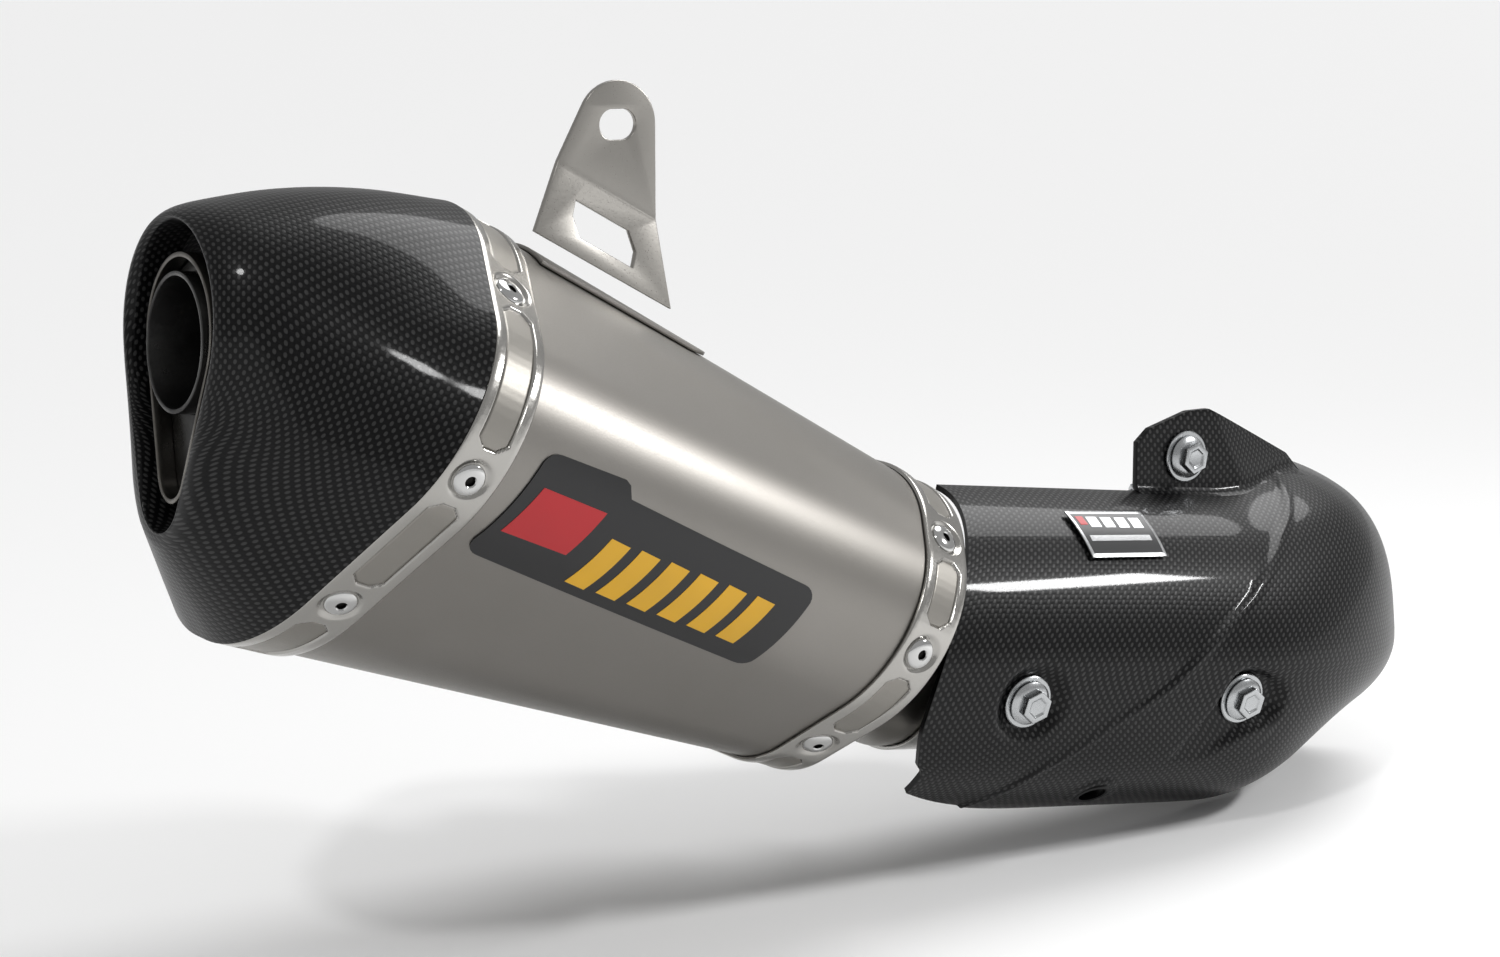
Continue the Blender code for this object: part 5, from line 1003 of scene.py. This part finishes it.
def shield_start(angle):
    if angle < SIDE_DEG:
        return START_TOP + (START_SIDE - START_TOP) * ease((angle - TOP_DEG) / (SIDE_DEG - TOP_DEG))
    return START_SIDE + (START_CORNER - START_SIDE) * ease((angle - SIDE_DEG) / (CORNER_DEG - SIDE_DEG))


def shield_place(station, angle):
    """Length along the pipe and true angle of a place on the shield."""
    lead = 0.0100 + 0.0500 * ease((70.0 - angle) / 40.0)
    along = station + shield_start(angle) * max(0.0, 1.0 - station / lead)
    run = min(1.0, max(0.0, (along - START_CORNER) / 0.1000))
    lower = BOTTOM_DEG - (BOTTOM_DEG - CORNER_DEG) * (1.0 - run) ** 2
    fixed = LOWER_DEG + 24.0
    if angle > fixed:
        angle = fixed + (angle - fixed) * (lower - fixed) / (BOTTOM_DEG - fixed)
    return along, angle


def shield_point(along, angle):
    return pipe_ring(along, shield_radius(along, angle), np.array((angle,)))[0]


grid = []
for station in np.linspace(0.0, SHIELD_END, 221):
    grid.append([shield_point(*shield_place(station, angle))
                 for angle in np.linspace(TOP_DEG, BOTTOM_DEG, 181)])
shield = lay_sheet("shield_shell", grid, False, inside=pipe_frame(0.0850)[0], cloth_from=90)
select_only(shield)
bpy.ops.object.mode_set(mode="EDIT")
bpy.ops.mesh.select_mode(type="FACE")
bpy.ops.mesh.select_all(action="DESELECT")
bpy.ops.object.mode_set(mode="OBJECT")
openings = [(shield_point(VENT_ALONG, VENT_DEG), VENT_R + 0.0004)]
openings += [(shield_point(along, LOWER_DEG), 0.0034) for along in BOLT_ALONG]
for face in shield.data.polygons:
    face.select = any((face.center - Vector(place)).length < radius for place, radius in openings)
bpy.ops.object.mode_set(mode="EDIT")
bpy.ops.mesh.delete(type="FACE")
bpy.ops.object.mode_set(mode="OBJECT")
thicken(shield, SHIELD_WALL)
eyelet = turned("vent_eyelet", [(VENT_R, 0.0006), (VENT_R + 0.0006, 0.0009),
                                (VENT_R + 0.0016, 0.0007), (VENT_R + 0.0020, 0.0),
                                (VENT_R + 0.0018, -0.0026), (VENT_R, -0.0026)], 48)
vent = shield_point(VENT_ALONG, VENT_DEG)
eyelet.data.transform(facing(Vector(vent), vent - pipe_frame(VENT_ALONG)[0]))

BOLT_X = 0.2965
BOLT_Z = -0.0610
EAR_Y = -0.0060
EAR_TOP = ((-0.0205, 0.0063), (-0.0155, 0.0105), (0.0008, 0.0150), (0.0102, 0.0150), (0.0578, -0.0060),
           (0.0680, -0.0150))


def ear_plane(x, z):
    """World point on the ear's face: flat behind the fold, turned with the bend in front of it."""
    fold = 0.0110 + (0.0150 - z) * 0.5
    beyond = max(0.0, x - fold)
    softened = beyond * beyond / (beyond + 0.0030)
    across = EAR_Y + softened * math.tan(math.radians(22.0))
    return REAR_DATUM + np.array((BOLT_X + x, across, BOLT_Z + z))


ear_grid = []
for x in np.linspace(EAR_TOP[0][0], EAR_TOP[-1][0], 90):
    level = np.interp(x, [place for place, height in EAR_TOP], [height for place, height in EAR_TOP])
    along = (BOLT_X + x - 0.1740) / math.cos(INLET_PITCH)
    for _ in range(6):
        foot_point = shield_point(along, 21.0)
        along += REAR_DATUM[0] + BOLT_X + x - foot_point[0]
    inner = foot_point - (foot_point - pipe_frame(along)[0]) * 0.012
    rise = shield_point(along, 12.0)
    root = min(rise[2] - REAR_DATUM[2] - BOLT_Z + 0.0035, level - 0.0008)
    corner = ear_plane(x, root)
    control = np.array((corner[0], corner[1], rise[2] + 0.0002))
    column = []
    for share in np.linspace(0.0, 1.0, 12)[:-1]:
        left = 1.0 - share
        column.append(inner * left ** 2 + control * 2.0 * share * left + corner * share ** 2)
    for share in np.linspace(0.0, 1.0, 12):
        column.append(ear_plane(x, root + (level - root) * share))
    ear_grid.append(column)
ear_inside = REAR_DATUM + np.array((BOLT_X, 0.03, -0.09))
ear = lay_sheet("shield_ear", ear_grid, False, inside=ear_inside, cloth_from=12)
thicken(ear, 0.0020, 0.0003)
select_only(shield)
ear.select_set(True)
eyelet.select_set(True)
bpy.ops.object.join()
mount_piece(shield, "link_pipe", "carbon_gloss", carbon, "heat_shield")


# ---- Shield badge ------------------------------------------------------------------------------
# A small etched aluminium plate, black with a bare frame and a generic row of bars, riveted flat on the
# shield by its adhesive. Its edges are bevelled.
def shield_patch(name, corners, lift, thickness, steps, material, soften=0.0):
    a, b, c, d = [np.array(corner) for corner in corners]
    grid = []
    for share in np.linspace(0.0, 1.0, steps[0]):
        high = a + (b - a) * share
        low = d + (c - d) * share
        places = [high + (low - high) * down for down in np.linspace(0.0, 1.0, steps[1])]
        grid.append([pipe_ring(along, SHIELD_R + lift, np.array((angle,)))[0]
                     for along, angle in places])
    patch = lay_sheet(name, grid, False, inside=pipe_frame(0.0670)[0])
    thicken(patch, thickness, soften)
    patch.data.materials.append(material)
    return patch


# Black anodised field, bare satin aluminium frame and bars.
black_field = printed_film("black_anodised", "#17181A", 0.30)
bare_aluminium = grained_metal("bare_aluminium", "#C2C3C4", "#B2B3B4", 0.28, 0.05, 0.0002, 0.00002)
plate = shield_patch("plate_frame", ((0.0510, 28.0), (0.0830, 27.0), (0.0830, 48.0), (0.0520, 49.0)),
                     0.0009, 0.0006, (17, 13), bare_aluminium, 0.0002)
marks = [shield_patch("field", ((0.0522, 29.6), (0.0818, 28.6), (0.0818, 46.4), (0.0532, 47.4)),
                      0.0010, 0.0002, (17, 13), black_field),
         shield_patch("patch", ((0.0532, 31.0), (0.0562, 30.9), (0.0566, 35.0), (0.0536, 35.2)),
                      0.0011, 0.0002, (4, 4), red_ink)]
for number in range(4):
    first = 0.0575 + number * 0.0058
    marks.append(shield_patch("bar", ((first, 31.2), (first + 0.0042, 31.1),
                                      (first + 0.0042, 36.0), (first, 36.1)), 0.0011, 0.0002, (4, 4),
                              bare_aluminium))
marks.append(shield_patch("bar", ((0.0545, 40.0), (0.0795, 39.2), (0.0795, 41.6), (0.0545, 42.4)),
                          0.0011, 0.0002, (9, 4), bare_aluminium))
select_only(plate)
for mark in marks:
    mark.select_set(True)
bpy.ops.object.join()
mount_piece(plate, "link_pipe", "grey_badge", None, "shield_badge")


# ---- Shield bolts, washers, spacers ------------------------------------------------------------
# Three M6 flanged hexagon bolts, zinc-plated, clamp the shield through plain washers and rubber-faced
# spacers. The heads are cold-formed with a chamfered crown and a dished top.
BOLT_R = 0.0030
HEX_R = 0.0053
HEX_H = 0.0040
FLANGE_R = 0.0070
FLANGE_H = 0.0012
WASHER_R = 0.0085
WASHER_H = 0.0010
FIRST_GAP = 0.0003


def hex_crown(name, radius, height, dish):
    """Hexagon head made by hand: a six-sided cylinder, its top inset and sunk, its edges bevelled."""
    bpy.ops.mesh.primitive_cylinder_add(vertices=6, radius=radius, depth=height,
                                        location=(0.0, 0.0, 0.0))
    head = bpy.context.object
    head.name = name
    raised = Matrix.Translation((0.0, 0.0, height / 2.0))
    head.data.transform(raised @ Matrix.Rotation(math.pi / 6.0, 4, "Z"))
    bpy.ops.object.mode_set(mode="EDIT")
    bpy.ops.mesh.select_mode(type="FACE")
    bpy.ops.mesh.select_all(action="DESELECT")
    bpy.ops.object.mode_set(mode="OBJECT")
    for face in head.data.polygons:
        face.select = face.normal.z > 0.9
    bpy.ops.object.mode_set(mode="EDIT")
    bpy.ops.mesh.inset(thickness=radius * 0.30, depth=0.0)
    bpy.ops.mesh.inset(thickness=radius * 0.10, depth=-dish)
    bpy.ops.object.mode_set(mode="OBJECT")
    rounded = head.modifiers.new("rounded", "BEVEL")
    rounded.width = 0.00035
    rounded.segments = 3
    rounded.limit_method = "ANGLE"
    rounded.angle_limit = math.radians(25.0)
    bpy.ops.object.modifier_apply(modifier="rounded")
    bpy.ops.object.shade_smooth_by_angle(angle=math.radians(28.0))
    return head


zinc = grained_metal("zinc_plate_satin", "#B9BBBC", "#A4A6A8", 0.27, 0.06, 0.0004, 0.00003)
rubber = printed_film("moulded_rubber", "#1A1A1A", 0.62)
seat_turn = math.radians(LOWER_DEG)
bolt_places = []
for along in BOLT_ALONG:
    heart, run, rise, out = pipe_frame(along)
    outward = rise * math.cos(seat_turn) + out * math.sin(seat_turn)
    bolt_places.append((heart + outward * (SHIELD_R - SEAT_SINK), outward, SHIELD_WALL,
                        SHIELD_R - SEAT_SINK - SHIELD_WALL - FIRST_GAP - PIPE_R - 0.0075))
bolt_places.append((REAR_DATUM + np.array((BOLT_X, EAR_Y, BOLT_Z)), np.array((0.0, -1.0, 0.0)),
                    0.0020, 0.0040))
seat_up = FIRST_GAP * 2.0 + WASHER_H
for number, (seat, outward, wall, depth) in enumerate(bolt_places, start=1):
    tip = -wall - depth - FIRST_GAP * 2.0 - 0.0060
    bolt = turned("bolt_body", [(0.0, seat_up + FLANGE_H + 0.0006),
                                (HEX_R * 0.92, seat_up + FLANGE_H + 0.0006),
                                (FLANGE_R * 0.94, seat_up + FLANGE_H * 0.75),
                                (FLANGE_R, seat_up + FLANGE_H * 0.45),
                                (FLANGE_R, seat_up + 0.0002), (FLANGE_R - 0.0002, seat_up),
                                (BOLT_R, seat_up), (BOLT_R, tip + 0.0006), (BOLT_R - 0.0005, tip),
                                (0.0, tip)], 48)
    crown = hex_crown("bolt_crown", HEX_R, HEX_H, 0.0006)
    crown.data.transform(Matrix.Translation((0.0, 0.0, seat_up + FLANGE_H * 0.5)))
    select_only(bolt)
    crown.select_set(True)
    bpy.ops.object.join()
    side = Vector((0.2, 0.3, 1.0))
    bolt.data.transform(facing(Vector(seat), outward, side))
    bolt.name = "flange_bolt_" + str(number)
    mount_piece(bolt, "link_pipe", "zinc_plate", zinc, "shield_bolt_" + str(number))
    bore = BOLT_R + 0.0004
    washer = turned("plain_washer_" + str(number), [
        (bore, FIRST_GAP), (bore, FIRST_GAP + WASHER_H), (WASHER_R - 0.0003, FIRST_GAP + WASHER_H),
        (WASHER_R, FIRST_GAP + WASHER_H - 0.0003), (WASHER_R, FIRST_GAP + 0.0001),
        (WASHER_R - 0.0001, FIRST_GAP)], 64)
    washer.data.transform(facing(Vector(seat), outward, side))
    mount_piece(washer, "link_pipe", "zinc_plate", zinc, "shield_washer_" + str(number))
    top = -wall - FIRST_GAP
    spacer = turned("rubber_spacer_" + str(number), [
        (bore, top), (0.0066, top), (0.0070, top - 0.0004), (0.0070, top - depth + 0.0004),
        (0.0066, top - depth), (bore, top - depth)], 48)
    spacer.data.transform(facing(Vector(seat), outward, side))
    mount_piece(spacer, "link_pipe", "black_rubber", rubber, "shield_spacer_" + str(number))


# ---- Clamps ------------------------------------------------------------------------------------
# Each slip joint is drawn tight by a stainless band with two upturned ears, an M5 bolt and a nut. The
# band and ears are cut and formed from 1.2 mm and 2 mm strip; the fasteners are zinc-plated.
CLAMP_WIDTH = 0.0120
CLAMP_WALL = 0.0012
EAR_TALL = 0.0130
EAR_WALL = 0.0020
CLAMP_BOLT_R = 0.0025
CLAMP_HEX = 0.0046
CLAMP_HEAD = 0.0040
CLAMP_NUT = 0.0045


def clamp(prefix, along, inner_r, turn_deg):
    centre, direction, up, outboard = pipe_frame(along)
    turn = math.radians(turn_deg)
    ears = Vector(up * math.cos(turn) - outboard * math.sin(turn))
    placed = facing(Vector(centre), direction, ears)
    outer_r = inner_r + CLAMP_WALL
    half_gap = inner_r * math.sin(math.radians(6.0))
    ear_out = half_gap + EAR_WALL
    tip = outer_r + EAR_TALL
    first = math.degrees(math.asin(ear_out / outer_r))
    last = math.degrees(math.asin(half_gap / inner_r))
    outline = [(tip - 0.0012, ear_out)] + arc(0.0, 0.0, outer_r, first, 360.0 - first, 121)
    outline += [(tip - 0.0012, -ear_out), (tip, -ear_out + 0.0006), (tip, -half_gap)]
    outline += arc(0.0, 0.0, inner_r, 360.0 - last, last, 121)
    outline += [(tip, half_gap), (tip, ear_out - 0.0006)]
    strip = cut_plate(prefix + "_strip", [outline], CLAMP_WIDTH, 0.0002, placed)
    mount_piece(strip, prefix, "steel_bright", bright_steel, prefix + "_band")
    axis = placed.to_3x3() @ Vector((0.0, 1.0, 0.0))
    middle = placed @ Vector((outer_r + EAR_TALL * 0.55, 0.0, 0.0))
    seat = ear_out + FIRST_GAP
    head = hex_crown(prefix + "_head", CLAMP_HEX, CLAMP_HEAD, 0.0005)
    tip_z = -2.0 * seat - CLAMP_NUT - 0.0015
    shank = turned("shank", [(0.0, 0.0010), (CLAMP_BOLT_R, 0.0010), (CLAMP_BOLT_R, tip_z + 0.0004),
                             (CLAMP_BOLT_R - 0.0004, tip_z), (0.0, tip_z)], 32)
    select_only(head)
    shank.select_set(True)
    bpy.ops.object.join()
    head.data.transform(facing(middle + axis * seat, axis, ears))
    mount_piece(head, prefix, "zinc_plate", zinc, prefix + "_bolt")
    nut = hex_crown(prefix + "_nut_hex", CLAMP_HEX, CLAMP_NUT, 0.0004)
    nut.data.transform(facing(middle - axis * seat, -axis, ears))
    mount_piece(nut, prefix, "zinc_plate", zinc, prefix + "_nut")


clamp("slip_clamp", 0.0180 - 0.0010 - CLAMP_WIDTH / 2.0, PIPE_R + 0.0016 + 0.0003, 90.0)
clamp("inlet_clamp", PIPE_END + 0.0180 - 0.0030 - CLAMP_WIDTH / 2.0, collar_out + 0.0003, 20.0)


# ---- Inner pieces ------------------------------------------------------------------------------
# Inside the sleeve a steel bulkhead closes the rear, a perforated core carries the gas and glass wool
# fills the space around it. Turned steel bosses on the link pipe take the shield's bolts.
def finished_copy(name, node, soften):
    """Copy of a solid with its edges rounded and its faces shaded smooth."""
    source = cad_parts[node]
    piece = bpy.data.objects.new(name, source.data.copy())
    piece.matrix_world = source.matrix_world
    bpy.context.scene.collection.objects.link(piece)
    select_only(piece)
    bpy.ops.object.transform_apply(location=True, rotation=True, scale=True)
    bpy.ops.object.mode_set(mode="EDIT")
    bpy.ops.mesh.select_all(action="SELECT")
    bpy.ops.mesh.remove_doubles(threshold=0.000001)
    bpy.ops.mesh.dissolve_limited(angle_limit=math.radians(1.0))
    bpy.ops.mesh.normals_make_consistent(inside=False)
    bpy.ops.object.mode_set(mode="OBJECT")
    rounded = piece.modifiers.new("rounded", "BEVEL")
    rounded.width = soften
    rounded.segments = 2
    rounded.limit_method = "ANGLE"
    rounded.angle_limit = math.radians(35.0)
    bpy.ops.object.modifier_apply(modifier="rounded")
    bpy.ops.object.shade_smooth_by_angle(angle=math.radians(32.0))
    return piece


def spun_glass(name):
    """Glass wool: pale yellow felt with fibres standing in a coarse noise."""
    made, tree, shader = start_material(name, "#D8CDA8", 0.0, 0.9)
    place = add_node(tree, "ShaderNodeTexCoord", {}, {})
    fibre = add_node(tree, "ShaderNodeTexNoise", {}, {"Vector": place.outputs["Object"], "Scale": 700.0,
                                                      "Detail": 6.0, "Distortion": 2.0})
    felt = add_node(tree, "ShaderNodeMix", {"data_type": "RGBA"}, {"Factor": fibre.outputs["Fac"],
                                                                  "A": linear("#A89A70"),
                                                                  "B": linear("#EFE7C8")})
    bump = add_node(tree, "ShaderNodeBump", {}, {"Height": fibre.outputs["Fac"], "Strength": 0.9,
                                                 "Distance": 0.0008})
    tree.links.new(felt.outputs["Result"], shader.inputs["Base Color"])
    tree.links.new(bump.outputs["Normal"], shader.inputs["Normal"])
    return made


wool = spun_glass("glass_wool_felt")
for name, node, body, slot_name, material in (
        ("bulkhead_pressing", "rear_bulkhead", "muffler", "steel_dark", sooted_steel),
        ("core_tube", "perforated_core", "muffler", "steel_dark", sooted_steel),
        ("wool_blanket", "packing", "muffler", "glass_wool", wool),
        ("boss_lower_rear", "shield_boss_1", "link_pipe", "steel_dark", browned_steel),
        ("boss_lower_front", "shield_boss_2", "link_pipe", "steel_dark", browned_steel),
        ("boss_upper", "shield_boss_3", "link_pipe", "steel_dark", browned_steel)):
    made = finished_copy(name, node, 0.00015)
    mount_piece(made, body, slot_name, material, node)


# ---- Stage -------------------------------------------------------------------------------------
# The exhaust stands in a white studio: one wide soft light overhead, a narrow one at the front left and
# a small strip box near the heat shield. The floor is plain board that runs out to the horizon.
FLOOR_SIDE = 160.0
FLOOR_CLEAR = 0.0015
WORLD_STRENGTH = 0.45


def soft_light(name, bearing, height, spread, power, colour="#FFFFFF"):
    """Distant soft light from a bearing (degrees from +X towards +Y) and a height above the floor."""
    lamp = bpy.data.lights.new(name, "SUN")
    lamp.angle = math.radians(spread)
    lamp.energy = power
    lamp.color = linear(colour)[:3]
    held = bpy.data.objects.new(name, lamp)
    bpy.context.scene.collection.objects.link(held)
    level = math.cos(math.radians(height))
    towards = Vector((level * math.cos(math.radians(bearing)), level * math.sin(math.radians(bearing)),
                      math.sin(math.radians(height))))
    held.rotation_euler = towards.to_track_quat("Z", "Y").to_euler()
    return held


floor_z = min(cad_box[0][2], cad_box[1][2]) - FLOOR_CLEAR
bpy.ops.object.select_all(action="DESELECT")
bpy.ops.mesh.primitive_plane_add(size=FLOOR_SIDE, location=(0.0, 0.0, floor_z))
studio = bpy.context.object
studio.name = "studio_floor"
# Matt white studio board.
board = start_material("studio_board", "#F6F6F6", 0.0, 0.8)[0]
studio.data.materials.append(board)

world = bpy.data.worlds.new("studio")
world.use_nodes = True
world.node_tree.nodes["Background"].inputs["Color"].default_value = linear("#FFFFFF")
world.node_tree.nodes["Background"].inputs["Strength"].default_value = WORLD_STRENGTH
bpy.context.scene.world = world
bpy.context.scene.view_settings.view_transform = "Standard"
soft_light("overhead", 26.0, 51.0, 34.0, 1.5)
soft_light("front_left", 218.0, 54.0, 6.0, 0.5)
strip = bpy.data.lights.new("strip_box", "AREA")
strip.shape = "RECTANGLE"
strip.size = 0.16
strip.size_y = 0.05
strip.energy = 2.6
strip_box = bpy.data.objects.new("strip_box", strip)
bpy.context.scene.collection.objects.link(strip_box)
strip_box.location = (0.64, -0.34, 0.25)
strip_aim = Vector(strip_box.location) - Vector((0.145, -0.03, -0.132))
strip_box.rotation_euler = strip_aim.to_track_quat("Z", "Y").to_euler()

camera = bpy.data.objects.new("studio_camera", bpy.data.cameras.new("studio_camera"))
bpy.context.scene.collection.objects.link(camera)
camera.location = (-0.4507, -0.7629, 0.0661)
camera.rotation_euler = (math.radians(80.0), 0.0, math.radians(-33.0))
camera.data.lens = 74.4
camera.data.sensor_width = 36.0
camera.data.clip_start = 0.01
bpy.context.scene.camera = camera
